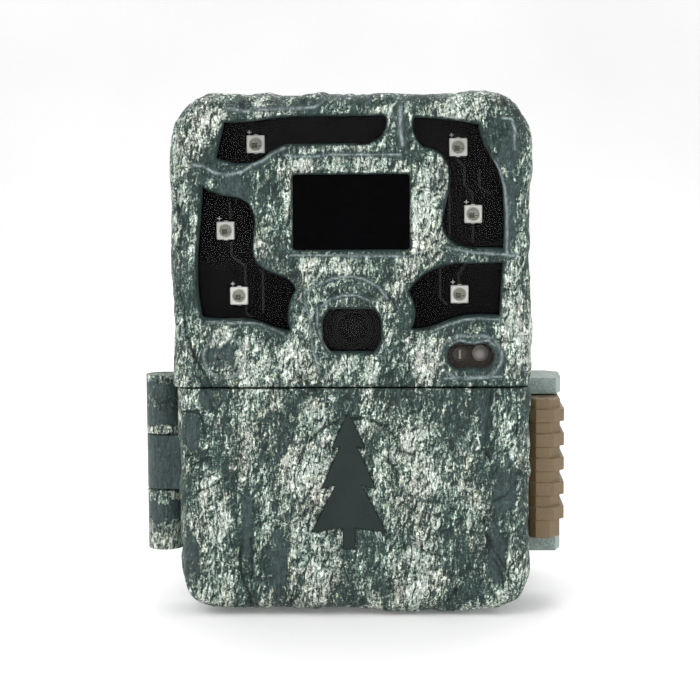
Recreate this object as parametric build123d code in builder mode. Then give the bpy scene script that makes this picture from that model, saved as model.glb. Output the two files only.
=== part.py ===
from build123d import *

import os

# Trail camera: a weatherproof box that straps to a tree and photographs passing animals.
#
# Frame: millimetres, +Z up, the front faces -Y, and the origin is on the ground under the
# middle of the camera. The upper front is a fixed bezel with lamp, sensor and lens openings.
# The lower front is a door on a pin hinge (left) held by a swinging latch (right). Behind the
# door is the control panel. A battery tray slides down out of the base, and a toothed bracket
# on the back tilts on its own pin.

os.makedirs("parts", exist_ok=True)

# ---------------------------------------------------------------- driving dimensions
case_width = 86.0  # front bezel and door, across
case_height = 127.0
corner_radius = 11.0  # the case's corners, seen from the front
front_y = -38.0  # front faces of the bezel and the door
parting_y = -22.0  # where the front parts meet the rear housing
back_y = 26.0  # back face of the rear housing
wall = 2.6  # side walls
front_wall = 3.2  # the bezel's front wall
door_wall = 2.8  # the door's front wall
edge_round = 4.0  # rounding of the front's outer edge
back_round = 2.4  # rounding of the back's outer edge
rear_inset = 0.4  # the rear housing stands this far inside the front parts
door_top = 56.4
door_bottom = 0.8
seam_gap = 0.4  # between the door and the bezel's shelf
shelf_thickness = 3.6
partition_low = 58.4  # wall between the electronics and the batteries
partition_thickness = 2.6
fit_gap = 0.3  # general clearance round a dropped-in piece
door_gap = 0.2  # between the closed door and the rear housing

# hinge, on the left
knuckle_radius = 4.3
knuckle_side_gap = 0.4  # between a knuckle and the case's side
knuckle_heights = (14.3, 29.6, 43.4, 58.3)
knuckle_gap = 0.4
pin_radius = 1.5
pin_clearance = 0.06  # a knuckle that turns on its pin

# latch, on the right
latch_pivot_out, latch_pivot_y = 4.0, -10.5  # how far out from the case's side, and the depth
latch_low, latch_high = 17.6, 52.5
latch_gap = 0.4  # lever to case side and to its ears
ear_thickness = 4.0
rib_count = 5
rib_height = 3.2
rib_pitch = 6.3
hook_low, hook_high = 24.0, 46.0
hook_front, hook_back = -26.4, -25.2
hook_reach = 1.4  # how far the hook enters the door's side

# front openings
pir_width, pir_height, pir_z = 28.0, 18.0, 98.9
lens_z = 70.4
lens_opening_radius = 7.4
lens_opening_width, lens_opening_height = 14.1, 10.4
status_x, status_z, status_lobe, status_pitch = 28.6, 64.1, 3.05, 5.0
mic_x, mic_z, mic_hole = -32.2, 63.8, 0.5

# panels behind the bezel
window_thickness = 1.6
board_thickness = 1.4
lamp_board_y = -28.6  # front face of the lamp boards
lamp_size, lamp_height, lamp_dome = 4.3, 1.6, 1.4
left_lamps = ((-23.3, 115.2), (-30.9, 94.3), (-27.8, 78.3))
right_lamps = ((25.8, 114.2), (29.4, 98.0), (26.1, 78.5))
sensor_board_y = -17.6  # front face of the sensor board

# control panel behind the door
plateau_y = -30.0
plateau_width, plateau_low, plateau_high = 68.0, 9.0, 53.0
plateau_wall = 1.8
display_x, display_z = -11.0, 31.0
display_width, display_height = 40.0, 30.0
pad_x, pad_z, pad_reach = 21.2, 39.5, 7.4
button_radius, button_travel = 2.7, 0.6
switch_x, switch_z, switch_travel = 18.2, 7.6 + plateau_low, 6.0
card_width, card_length, card_thickness = 24.0, 32.0, 2.1
card_z, card_y = 25.8, -23.7
card_end = 36.2  # outer end of the stored card

# battery tray
cell_radius, cell_length, cell_gap = 7.2, 50.5, 0.5
cell_columns, cell_rows = 4, 2
tray_wall = 1.2
hatch_low, hatch_thickness = 0.5, 2.8
bay_gap = 0.5
bay_back_gap = 0.6
bay_wall = 1.6

# base fittings
tripod_y, tripod_radius, insert_radius, insert_length = -14.6, 2.6, 3.8, 9.0
jack_y, jack_hole, jack_half = -15.8, 4.5, 4.6

# back bracket
tilt_y, tilt_z, tilt_radius, tilt_pin = 30.4, 22.0, 3.4, 1.6
bracket_width, bracket_high = 60.0, 98.0
cheek_thickness = 3.0
bracket_front, plate_back = 27.0, 29.6
cheek_back, tooth_tip = 36.6, 38.0
tooth_pitch = 5.0
strap_low, strap_high, strap_front, strap_back = 48.0, 78.0, 30.0, 34.8
cable_y, cable_z, cable_radius, cable_wide = 32.9, 88.0, 2.6, 3.0  # right cheek, left cheek

# ---------------------------------------------------------------- derived places
rear_width = case_width - 2 * rear_inset
rear_height = case_height - rear_inset
inner_width = rear_width - 2 * wall
inner_height = rear_height - 2 * wall
inner_radius = corner_radius - wall
rear_middle = rear_height / 2
seam = door_top + seam_gap  # underside of the bezel's shelf
shelf_top = seam + shelf_thickness
bezel_inner_y = front_y + front_wall
partition_high = partition_low + partition_thickness
panel_y = parting_y + 2.0  # back face of the control panel's flange
plateau_inner_y = plateau_y + plateau_wall
hinge_x = -(case_width / 2 + knuckle_side_gap + knuckle_radius)
pivot_x, pivot_y = case_width / 2 + latch_pivot_out, latch_pivot_y
jack_x = rear_width / 2 - corner_radius - jack_half
cell_pitch = 2 * cell_radius + cell_gap
tray_width = cell_columns * cell_pitch + 2 * tray_wall
tray_depth = cell_rows * cell_pitch + tray_wall
tray_y = back_y - wall - bay_back_gap - tray_depth / 2  # middle of the tray
side_screw = rear_width / 2 - 5.4
case_screws_at = ((11.7, 118.8), (-side_screw, 63.5), (side_screw, 63.5))
board_posts_at = ((-13.2, 111.3), (13.2, 111.3), (-13.2, 63.6), (13.2, 63.6))


def facing(y):
    """The plane at that y whose normal points forward, with sketch x = X and sketch y = Z."""
    return Plane.XZ.offset(-y)


def level(z):
    """The horizontal plane at that height."""
    return Plane.XY.offset(z)


def opening(*stretches):
    """A closed face. Each stretch is a smooth curve through its points, and stretches meet at corners."""
    with BuildSketch() as shape:
        with BuildLine():
            for stretch in stretches:
                if len(stretch) == 2:
                    Line(*stretch)
                else:
                    Spline(*stretch)
        make_face()
    return shape.sketch


def case_outline(width, height, radius, low, high, middle):
    """The case's rounded outline, kept only between two heights."""
    with BuildSketch() as shape:
        with Locations((0, middle)):
            RectangleRounded(width, height, radius)
        with Locations((0, (low + high) / 2)):
            Rectangle(width + 1, high - low, mode=Mode.INTERSECT)
    return shape.sketch


def save(piece, label):
    """Names a finished piece and writes its file."""
    piece.part.label = label
    export_step(piece.part, f"parts/{label}.step")


def block(x0, x1, y0, y1, z0, z1, mode=Mode.ADD):
    """A box between two corners."""
    with Locations(((x0 + x1) / 2, (y0 + y1) / 2, (z0 + z1) / 2)):
        Box(x1 - x0, y1 - y0, z1 - z0, mode=mode)


def rod_y(x, z, radius, y0, y1, mode=Mode.ADD):
    """A round bar along Y from y0 back to y1."""
    with Locations(Location((x, (y0 + y1) / 2, z), (90, 0, 0))):
        Cylinder(radius, y1 - y0, mode=mode)


def rod_x(y, z, radius, x0, x1, mode=Mode.ADD):
    """A round bar along X."""
    with Locations(Location(((x0 + x1) / 2, y, z), (0, 90, 0))):
        Cylinder(radius, x1 - x0, mode=mode)


def rod_z(x, y, radius, z0, z1, mode=Mode.ADD):
    """An upright round bar."""
    with Locations((x, y, (z0 + z1) / 2)):
        Cylinder(radius, z1 - z0, mode=mode)


# ---------------------------------------------------------------- outlines of the lamp windows
top_left_opening = opening(
    ((-30.3, 120.5), (-25.0, 120.6), (-19.0, 121.3), (-13.0, 121.8)),
    ((-13.0, 121.8), (8.3, 121.8)),
    ((8.3, 121.8), (7.8, 118.0), (5.4, 115.8), (1.0, 115.3)),
    ((1.0, 115.3), (-15.0, 115.2)),
    ((-15.0, 115.2), (-18.6, 113.8), (-22.9, 111.2), (-27.5, 110.8), (-32.3, 112.1)),
    ((-32.3, 112.1), (-31.2, 116.8), (-30.3, 120.5)),
)
left_opening = opening(
    ((-35.7, 105.2), (-30.1, 102.9), (-25.2, 101.2), (-23.4, 97.5), (-23.9, 90.5),
     (-22.5, 86.2), (-17.5, 83.8), (-13.5, 80.3)),
    ((-13.5, 80.3), (-15.4, 75.3), (-14.9, 70.4)),
    ((-14.9, 70.4), (-19.9, 71.6), (-23.8, 73.0), (-29.9, 73.3), (-36.2, 73.8)),
    ((-36.2, 73.8), (-37.1, 80.0), (-36.6, 95.0), (-35.7, 105.2)),
)
top_right_opening = opening(
    ((15.2, 121.3), (22.0, 120.9), (30.6, 119.6)),
    ((30.6, 119.6), (31.5, 115.5), (34.8, 109.3), (36.4, 102.0), (36.4, 90.0)),
    ((36.4, 90.0), (30.0, 90.2), (25.3, 91.2), (22.6, 94.0), (22.5, 100.0),
     (23.7, 107.8), (21.6, 112.8), (17.4, 114.6), (15.4, 117.6), (15.2, 121.3)),
)
right_opening = opening(
    ((13.7, 79.9), (17.8, 84.0), (21.8, 85.8), (27.4, 86.5), (36.3, 86.6)),
    ((36.3, 86.6), (35.5, 73.9)),
    ((35.5, 73.9), (29.1, 74.0), (24.8, 73.3), (19.6, 71.4), (14.4, 70.8)),
    ((14.4, 70.8), (15.3, 75.2), (13.7, 79.9)),
)
lamp_openings = (top_left_opening, left_opening, top_right_opening, right_opening)

left_panel_corners = (
    (-39.6, 68.8), (-12.4, 68.8), (-12.4, 82.4), (-18.0, 86.6), (-18.0, 109.2), (-15.6, 113.4),
    (8.9, 113.4), (8.9, 123.6), (-31.6, 123.6), (-39.6, 115.6),
)
right_panel_corners = (
    (12.2, 68.8), (39.6, 68.8), (39.6, 115.6), (31.6, 123.6), (14.5, 123.6), (14.5, 113.6),
    (18.0, 110.2), (18.0, 88.0), (12.2, 82.6),
)
left_stakes = ((-29.5, 107.4), (-20.7, 95.0))  # pins that hold a window and its lamp board
right_stakes = ((30.0, 88.3), (20.2, 101.0))
stake_radius, stake_pin = 1.4, 0.9

with BuildSketch() as lens_opening:
    with Locations((0, lens_z)):
        Circle(lens_opening_radius)
        Rectangle(lens_opening_width, lens_opening_height, mode=Mode.INTERSECT)

with BuildSketch() as status_opening:
    with Locations((status_x - status_pitch / 2, status_z), (status_x + status_pitch / 2, status_z)):
        Circle(status_lobe)
    with Locations((status_x, status_z)):
        Rectangle(status_pitch, 2 * status_lobe - 0.7)

# ---------------------------------------------------------------- front bezel
with BuildPart() as front_bezel:
    with BuildSketch(facing(parting_y)):
        add(case_outline(case_width, case_height, corner_radius, seam, case_height, case_height / 2))
    extrude(amount=parting_y - front_y)
    rim = front_bezel.edges().group_by(Axis.Y)[0]
    fillet(rim.filter_by(lambda e: e.center().Z > seam + 0.1), edge_round)
    with BuildSketch(facing(parting_y)):
        add(case_outline(case_width - 2 * wall, case_height - 2 * wall, inner_radius,
                         shelf_top, case_height, case_height / 2))
    extrude(amount=parting_y - bezel_inner_y, mode=Mode.SUBTRACT)
    # screw bosses, board posts and window stakes stand on the inside of the front wall
    for x, z in case_screws_at:
        rod_y(x, z, 2.6, bezel_inner_y - 0.2, parting_y)
    for x, z in board_posts_at:
        rod_y(x, z, 2.0, bezel_inner_y - 0.2, sensor_board_y)
    for x, z in left_stakes + right_stakes:
        rod_y(x, z, stake_radius, bezel_inner_y - 0.2, lamp_board_y)
        rod_y(x, z, stake_pin, lamp_board_y, lamp_board_y + board_thickness + 0.4)
    with BuildSketch(facing(bezel_inner_y + 0.1)):
        for shape in lamp_openings:
            add(shape)
        add(lens_opening.sketch)
        add(status_opening.sketch)
        with Locations((0, pir_z)):
            RectangleRounded(pir_width, pir_height, 0.8)
        with Locations((mic_x, mic_z)):
            Circle(mic_hole)
    extrude(amount=front_wall + 1, mode=Mode.SUBTRACT)
    for x, z in case_screws_at:
        rod_y(x, z, pin_radius, parting_y - 9.4, parting_y, Mode.SUBTRACT)
    for x, z in board_posts_at:
        rod_y(x, z, 1.0, sensor_board_y - 7, sensor_board_y, Mode.SUBTRACT)
save(front_bezel, "front_bezel")


# ---------------------------------------------------------------- windows and lamp boards
def panel(corners, stakes, back, thickness, hole, shrink=0.0):
    """A flat plate with the given corners, pierced for its stakes."""
    with BuildPart() as plate:
        with BuildSketch(facing(back)):
            with BuildLine():
                Polyline(*corners, close=True)
            make_face()
            if shrink:
                offset(amount=-shrink, mode=Mode.REPLACE)
            with Locations(*stakes):
                Circle(hole, mode=Mode.SUBTRACT)
        extrude(amount=thickness)
    return plate


window_back = bezel_inner_y + window_thickness
ir_window_left = panel(left_panel_corners, left_stakes, window_back, window_thickness, stake_radius + 0.1)
save(ir_window_left, "ir_window_left")
ir_window_right = panel(right_panel_corners, right_stakes, window_back, window_thickness, stake_radius + 0.1)
save(ir_window_right, "ir_window_right")
board_back = lamp_board_y + board_thickness
led_board_left = panel(left_panel_corners, left_stakes, board_back, board_thickness, stake_pin + 0.05, 0.6)
save(led_board_left, "led_board_left")
led_board_right = panel(right_panel_corners, right_stakes, board_back, board_thickness, stake_pin + 0.05, 0.6)
save(led_board_right, "led_board_right")

with BuildPart() as led_packages:
    with BuildSketch(facing(lamp_board_y)):
        with Locations(*left_lamps, *right_lamps):
            Rectangle(lamp_size, lamp_size)
            Circle(lamp_dome, mode=Mode.SUBTRACT)
    extrude(amount=lamp_height)
save(led_packages, "led_packages")

with BuildPart() as led_domes:
    for x, z in left_lamps + right_lamps:
        rod_y(x, z, lamp_dome, lamp_board_y - lamp_height, lamp_board_y)
    for x, z in left_lamps + right_lamps:
        with Locations((x, lamp_board_y - lamp_height + lamp_dome * 0.4, z)):
            Sphere(lamp_dome)
    block(-case_width, case_width, lamp_board_y, parting_y, 0, case_height, Mode.SUBTRACT)
save(led_domes, "led_domes")

# ---------------------------------------------------------------- motion sensor
with BuildPart() as pir_window:
    with BuildSketch(facing(bezel_inner_y + 1.0)):
        with Locations((0, pir_z)):
            Rectangle(pir_width + 2, pir_height + 2)
    extrude(amount=1.0)
    with BuildSketch(facing(bezel_inner_y)):
        with Locations((0, pir_z)):
            RectangleRounded(pir_width - 0.2, pir_height - 0.2, 0.7)
    extrude(amount=front_wall - 1.0)
save(pir_window, "pir_window")

with BuildPart() as pir_sensor:
    rod_y(0, pir_z, 5.1, sensor_board_y - 0.6, sensor_board_y)
    rod_y(0, pir_z, 4.5, sensor_board_y - 4.4, sensor_board_y - 0.6)
    fillet(pir_sensor.edges().group_by(Axis.Y)[0], 0.5)
save(pir_sensor, "pir_sensor")

# ---------------------------------------------------------------- lens
lens_front = bezel_inner_y + 3.2  # front rim of the barrel
holder_front = sensor_board_y - 6.4
with BuildPart() as lens_window:
    with BuildSketch(facing(bezel_inner_y + 1.0)):
        with Locations((0, lens_z)):
            Rectangle(lens_opening_width + 4, lens_opening_height + 4)
    extrude(amount=1.0)
save(lens_window, "lens_window")

with BuildPart() as lens_shroud:
    rod_y(0, lens_z, 8.4, bezel_inner_y + 1.0, lens_front)
    rod_y(0, lens_z, 7.2, bezel_inner_y + 1.0, lens_front, Mode.SUBTRACT)
save(lens_shroud, "lens_shroud")

with BuildPart() as lens_barrel:
    with BuildSketch(Plane.XY.offset(lens_z)):
        with BuildLine():
            Polyline((3.0, holder_front), (6.0, holder_front), (6.0, lens_front + 1.4), (8.2, lens_front + 1.4),
                     (8.2, lens_front), (6.6, lens_front), (5.4, lens_front + 0.8), (4.8, lens_front + 0.8),
                     (3.7, lens_front + 2.0), (3.7, lens_front + 4.0), (3.0, lens_front + 4.0), close=True)
        make_face()
    revolve(axis=Axis((0, 0, lens_z), (0, 1, 0)))
save(lens_barrel, "lens_barrel")

lens_dome = 6.3  # radius of the front glass's outer surface
with BuildPart() as lens_glass:
    rod_y(0, lens_z, 3.7, lens_front + 1.2, lens_front + 4.0)
    with Locations((0, lens_front + 1.2 + lens_dome, lens_z)):
        Sphere(lens_dome, mode=Mode.INTERSECT)
save(lens_glass, "lens_glass")

filter_size, filter_travel = 8.0, 5.5
holder_right = filter_size / 2 + filter_travel + 1.0
with BuildPart() as lens_holder:
    block(-7.5, holder_right, holder_front, sensor_board_y, lens_z - 6.5, lens_z + 6.5)
    rod_y(0, lens_z, 3.0, holder_front, sensor_board_y, Mode.SUBTRACT)
    block(-filter_size / 2 - 0.2, holder_right - 0.7, sensor_board_y - 3.0, sensor_board_y - 2.0,
          lens_z - filter_size / 2 - 0.1, lens_z + filter_size / 2 + 0.1, Mode.SUBTRACT)
    block(-5.0, 5.0, sensor_board_y - 1.4, sensor_board_y, lens_z - 4.5, lens_z + 4.5, Mode.SUBTRACT)
save(lens_holder, "lens_holder")

with BuildPart() as ir_cut_filter:
    block(-filter_size / 2, filter_size / 2, sensor_board_y - 2.8, sensor_board_y - 2.2,
          lens_z - filter_size / 2, lens_z + filter_size / 2)
save(ir_cut_filter, "ir_cut_filter")

with BuildPart() as image_sensor:
    block(-4.6, 4.6, sensor_board_y - 1.2, sensor_board_y, lens_z - 4.0, lens_z + 4.0)
save(image_sensor, "image_sensor")

with BuildPart() as sensor_board:
    block(-16.0, 16.0, sensor_board_y, sensor_board_y + 1.6, partition_high + fit_gap, 114.0)
    for x, z in board_posts_at:
        rod_y(x, z, 1.2, sensor_board_y, sensor_board_y + 1.6, Mode.SUBTRACT)
save(sensor_board, "sensor_board")


def screws_along_y(places, head_back, head, shank, head_height, length):
    """Pan-head screws whose heads face the back."""
    with BuildPart() as screws:
        for x, z in places:
            rod_y(x, z, head, head_back - head_height, head_back)
            rod_y(x, z, shank, head_back - head_height - length, head_back - head_height)
            rod_y(x, z, shank * 0.6, head_back - head_height * 0.6, head_back, Mode.SUBTRACT)
    return screws


sensor_board_screws = screws_along_y(board_posts_at, sensor_board_y + 1.6 + 1.2, 2.0, 1.0, 1.2, 8.0)
save(sensor_board_screws, "sensor_board_screws")

# ---------------------------------------------------------------- status window and microphone
with BuildPart() as status_window:
    with BuildSketch(facing(bezel_inner_y + 0.8)):
        with Locations((status_x, status_z)):
            Rectangle(11.6, 7.0)
    extrude(amount=0.8)
    with BuildSketch(facing(bezel_inner_y)):
        add(status_opening.sketch)
        offset(amount=-0.1, mode=Mode.REPLACE)
    extrude(amount=front_wall - 1.2)
save(status_window, "status_window")

status_board_y = bezel_inner_y + 5.6
with BuildPart() as status_board:
    block(22.0, 34.4, status_board_y, status_board_y + 1.2, shelf_top + 0.3, shelf_top + 7.0)
save(status_board, "status_board")

with BuildPart() as status_led:
    rod_y(status_x - status_pitch / 2, status_z, 1.9, status_board_y - 1.0, status_board_y)
    rod_y(status_x - status_pitch / 2, status_z, 1.5, status_board_y - 3.4, status_board_y - 1.0)
    fillet(status_led.edges().group_by(Axis.Y)[0], 0.9)
save(status_led, "status_led")

with BuildPart() as light_sensor:
    rod_y(status_x + status_pitch / 2, status_z, 1.9, status_board_y - 1.0, status_board_y)
    rod_y(status_x + status_pitch / 2, status_z, 1.7, status_board_y - 3.6, status_board_y - 1.0)
    fillet(light_sensor.edges().group_by(Axis.Y)[0], 1.4)
save(light_sensor, "light_sensor")

with BuildPart() as microphone:
    rod_y(mic_x, mic_z, 2.3, bezel_inner_y, bezel_inner_y + 2.2)
save(microphone, "microphone")

# ---------------------------------------------------------------- rear housing
gasket_depth = 1.2
with BuildSketch() as gasket_shape:
    with Locations((0, rear_middle)):
        RectangleRounded(rear_width - 1.4, rear_height - 1.4, corner_radius - 0.7)
        RectangleRounded(rear_width - 3.8, rear_height - 3.8, corner_radius - 1.9, mode=Mode.SUBTRACT)
    with Locations((0, partition_low + partition_thickness / 2 - 0.1)):
        Rectangle(rear_width - 3.0, 1.2)

bay_half = tray_width / 2 + bay_gap
bay_front = tray_y - tray_depth / 2 - bay_gap
bay_back = back_y - wall
board_y = 6.0  # front face of the main board
main_posts_at = ((-29.0, 68.5), (29.0, 68.5), (-29.0, 109.0), (29.0, 109.0))
panel_screw_x = inner_width / 2 - 3.4
panel_screws_at = ((-panel_screw_x, 50.6), (panel_screw_x, 50.6), (-panel_screw_x, 9.2), (panel_screw_x, 9.2))
screw_seat = 2.0  # y where the case screws' heads bear

with BuildPart() as rear_housing:
    with BuildSketch(facing(back_y)):
        with Locations((0, rear_middle)):
            RectangleRounded(rear_width, rear_height, corner_radius)
    extrude(amount=back_y - parting_y)
    fillet(rear_housing.edges().group_by(Axis.Y)[-1], back_round)
    with BuildSketch(facing(back_y - wall)):
        with Locations((0, rear_middle)):
            RectangleRounded(inner_width, inner_height, inner_radius)
    extrude(amount=back_y - wall - parting_y, mode=Mode.SUBTRACT)
    # partition with a hole for the leads, and the walls of the battery bay
    block(-inner_width / 2 - 0.5, inner_width / 2 + 0.5, parting_y, bay_back + 0.5, partition_low, partition_high)
    block(-bay_half - bay_wall, bay_half + bay_wall, bay_front - bay_wall, bay_front, wall - 0.5, partition_low + 0.5)
    for side in (-1, 1):
        wall_x = side * (bay_half + bay_wall / 2)
        block(wall_x - bay_wall / 2, wall_x + bay_wall / 2, bay_front - 0.1, bay_back + 0.5, wall - 0.5,
              partition_low + 0.5)
        ledge = side * (inner_width / 2 - 1.2)
        block(ledge - 1.4, ledge + 1.4, panel_y, panel_y + 2.0, 7.5, partition_low + 0.5)
    rod_z(0, -15.0, 2.5, partition_low, partition_high, Mode.SUBTRACT)
    # bosses
    for x, z in case_screws_at:
        rod_y(x, z, 4.2, parting_y, bay_back + 0.5)
    for x, z in main_posts_at:
        rod_y(x, z, 3.0, board_y + 1.6, bay_back + 0.5)
        rod_y(x, z, 1.1, board_y + 1.6, board_y + 12.0, Mode.SUBTRACT)
    for x, z in panel_screws_at:
        rod_y(x, z, 2.8, panel_y, panel_y + 8.0)
        rod_y(x, z, 1.2, panel_y, panel_y + 7.0, Mode.SUBTRACT)
    for x, z in case_screws_at:
        rod_y(x, z, 1.7, parting_y, screw_seat, Mode.SUBTRACT)
        rod_y(x, z, 2.9, screw_seat, back_y, Mode.SUBTRACT)
    rod_z(0, tripod_y, insert_radius + 1.4, 0, insert_length + 1.4)
    rod_z(0, tripod_y, insert_radius, 0, insert_length, Mode.SUBTRACT)
    rod_z(jack_x, jack_y, jack_hole, 0, wall + 0.1, Mode.SUBTRACT)
    # way out for the tray
    block(-bay_half, bay_half, bay_front, bay_back, -1, wall + 0.1, Mode.SUBTRACT)
    # lugs for the back bracket
    for side in (-1, 1):
        near, far = sorted((side * 15.2, side * 19.2))
        rod_x(tilt_y, tilt_z, tilt_radius, near, far)
        block(near, far, back_y - 0.5, tilt_y, tilt_z - tilt_radius, tilt_z + tilt_radius)
    rod_x(tilt_y, tilt_z, tilt_pin, -19.4, 19.4, Mode.SUBTRACT)
    # groove for the gasket
    with BuildSketch(facing(parting_y + gasket_depth)):
        add(gasket_shape.sketch)
    extrude(amount=gasket_depth, mode=Mode.SUBTRACT)
save(rear_housing, "rear_housing")

# the lower and upper knuckles stay with the housing, and the door's turns between them
side = -rear_width / 2
outer_knuckles = ((knuckle_heights[0], knuckle_heights[1] - knuckle_gap / 2),
                  (knuckle_heights[2] + knuckle_gap / 2, knuckle_heights[3]))
with BuildPart() as hinge_knuckles:
    for low, high in outer_knuckles:
        rod_z(hinge_x, parting_y, knuckle_radius, low, high)
        block(hinge_x, side, parting_y + door_gap, parting_y + knuckle_radius, low, high)
    rod_z(hinge_x, parting_y, pin_radius, knuckle_heights[0] + 1.0, knuckle_heights[3] - 1.0, Mode.SUBTRACT)
save(hinge_knuckles, "hinge_knuckles")

side = rear_width / 2
with BuildPart() as latch_ears:
    for low in (latch_low - latch_gap - ear_thickness, latch_high + latch_gap):
        with BuildSketch(level(low)):
            with BuildLine():
                Polyline((side, parting_y + 0.4), (pivot_x + 3.2, parting_y + 0.4), (pivot_x + 4.6, pivot_y - 7.0),
                         (pivot_x + 4.6, pivot_y + 2.0), (pivot_x + 1.6, pivot_y + 4.9), (side, pivot_y + 4.9),
                         close=True)
            make_face()
        extrude(amount=ear_thickness)
    rod_z(pivot_x, pivot_y, pin_radius, latch_low - latch_gap - ear_thickness + 0.6,
          latch_high + latch_gap + ear_thickness - 0.6, Mode.SUBTRACT)
save(latch_ears, "latch_ears")

with BuildPart() as case_gasket:
    with BuildSketch(facing(parting_y + gasket_depth)):
        add(gasket_shape.sketch)
    extrude(amount=gasket_depth)
save(case_gasket, "case_gasket")

case_screws = screws_along_y(case_screws_at, screw_seat + 2.4, 2.7, pin_radius, 2.4, screw_seat - parting_y + 9.0)
save(case_screws, "case_screws")

# ---------------------------------------------------------------- main board
with BuildPart() as main_board:
    block(-32.5, 32.5, board_y, board_y + 1.6, 64.5, 113.0)
    for x, z in main_posts_at:
        rod_y(x, z, 1.3, board_y, board_y + 1.6, Mode.SUBTRACT)
save(main_board, "main_board")

with BuildPart() as main_board_screws:
    for x, z in main_posts_at:
        rod_y(x, z, 2.2, board_y - 1.4, board_y)
        rod_y(x, z, 1.1, board_y, board_y + 9.0)
        rod_y(x, z, 0.7, board_y - 1.4, board_y - 0.5, Mode.SUBTRACT)
save(main_board_screws, "main_board_screws")

with BuildPart() as board_chips:
    block(-7.0, 7.0, board_y - 1.2, board_y, 85.0, 99.0)  # processor
    block(-22.0, -12.0, board_y - 1.0, board_y, 88.0, 96.0)  # memory
    block(13.0, 22.0, board_y - 3.6, board_y, 92.0, 101.0)  # inductor
    block(-8.0, 8.0, board_y - 4.0, board_y, 66.5, 71.5)  # battery connector
    for x in (-20.0, -13.0, 20.0):
        rod_y(x, 77.0, 2.9, board_y - 7.5, board_y)  # capacitors
save(board_chips, "board_chips")

with BuildPart() as ribbon_cable:
    with BuildLine(Plane.YZ) as route:
        FilletPolyline((sensor_board_y + 1.6, 103.0), (-9.0, 103.0), (-3.0, 107.5), (board_y, 107.5), radius=2.5)
    with BuildSketch(Plane(origin=route.line @ 0, x_dir=(1, 0, 0), z_dir=route.line % 0)):
        Rectangle(12.0, 0.4)
    sweep()
save(ribbon_cable, "ribbon_cable")

# ---------------------------------------------------------------- control panel
flange_top = partition_low - fit_gap
panel_inner = (plateau_width / 2 - plateau_wall, plateau_low + plateau_wall, plateau_high - plateau_wall)
pad_buttons = {
    "button_up": (pad_x, pad_z + pad_reach),
    "button_down": (pad_x, pad_z - pad_reach),
    "button_left": (pad_x - pad_reach, pad_z),
    "button_right": (pad_x + pad_reach, pad_z),
    "button_enter": (pad_x, pad_z),
}
control_board_y = plateau_inner_y + 2.1  # front face
pcb_posts_at = ((-29.8, 12.9), (29.8, 12.9), (-29.8, 49.1), (29.8, 49.1))

with BuildPart() as control_panel:
    with BuildSketch(facing(panel_y)):
        add(case_outline(inner_width - 2 * fit_gap, inner_height - 2 * fit_gap, inner_radius - fit_gap,
                         wall + fit_gap, flange_top, rear_middle))
    extrude(amount=panel_y - parting_y)
    with BuildSketch(facing(parting_y)):
        with Locations((0, (plateau_low + plateau_high) / 2)):
            RectangleRounded(plateau_width, plateau_high - plateau_low, 3.0)
    extrude(amount=parting_y - plateau_y)
    fillet(control_panel.edges().group_by(Axis.Y)[0], 1.0)
    block(-panel_inner[0], panel_inner[0], plateau_inner_y, panel_y + 1, panel_inner[1], panel_inner[2],
          Mode.SUBTRACT)
    for x, z in pcb_posts_at:
        rod_y(x, z, 1.4, plateau_inner_y - 0.2, control_board_y)
    # display window with a ledge for its cover
    block(display_x - display_width / 2, display_x + display_width / 2, plateau_y - 1, plateau_y + 1.3,
          display_z - display_height / 2, display_z + display_height / 2, Mode.SUBTRACT)
    block(display_x - display_width / 2 + 1, display_x + display_width / 2 - 1, plateau_y, plateau_inner_y + 1,
          display_z - display_height / 2 + 1, display_z + display_height / 2 - 1, Mode.SUBTRACT)
    for x, z in pad_buttons.values():
        rod_y(x, z, button_radius + 0.15, plateau_y - 1, plateau_inner_y + 0.1, Mode.SUBTRACT)
    block(switch_x - 2.7, switch_x + switch_travel + 2.7, plateau_y - 1, plateau_inner_y + 0.1,
          switch_z - 1.7, switch_z + 1.7, Mode.SUBTRACT)
    block(panel_inner[0] - 0.1, plateau_width / 2 + 1, card_y - card_thickness / 2 - 0.2,
          card_y + card_thickness / 2 + 0.2, card_z - card_width / 2 - 0.2, card_z + card_width / 2 + 0.2,
          Mode.SUBTRACT)
    for x, z in panel_screws_at:
        rod_y(x, z, 1.4, parting_y, panel_y, Mode.SUBTRACT)
save(control_panel, "control_panel")

with BuildPart() as control_panel_screws:
    for x, z in panel_screws_at:
        rod_y(x, z, 2.2, parting_y - 1.4, parting_y)
        rod_y(x, z, 1.2, parting_y, panel_y + 6.0)
        rod_y(x, z, 0.8, parting_y - 1.4, parting_y - 0.5, Mode.SUBTRACT)
save(control_panel_screws, "control_panel_screws")

with BuildPart() as display_cover:
    block(display_x - display_width / 2 + 0.1, display_x + display_width / 2 - 0.1, plateau_y + 0.1,
          plateau_y + 1.3, display_z - display_height / 2 + 0.1, display_z + display_height / 2 - 0.1)
save(display_cover, "display_cover")

with BuildPart() as display_panel:
    block(display_x - 20.9, display_x + 20.9, plateau_inner_y, control_board_y, display_z - 16.4, display_z + 16.4)
save(display_panel, "display_panel")

with BuildPart() as control_board:
    block(-panel_inner[0] + 0.5, panel_inner[0] - 0.5, control_board_y, control_board_y + 1.0,
          panel_inner[1] + 0.5, panel_inner[2] - 0.5)
    for x, z in pad_buttons.values():
        rod_y(x, z, 2.0, control_board_y - 0.8, control_board_y)  # key domes
save(control_board, "control_board")

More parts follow.
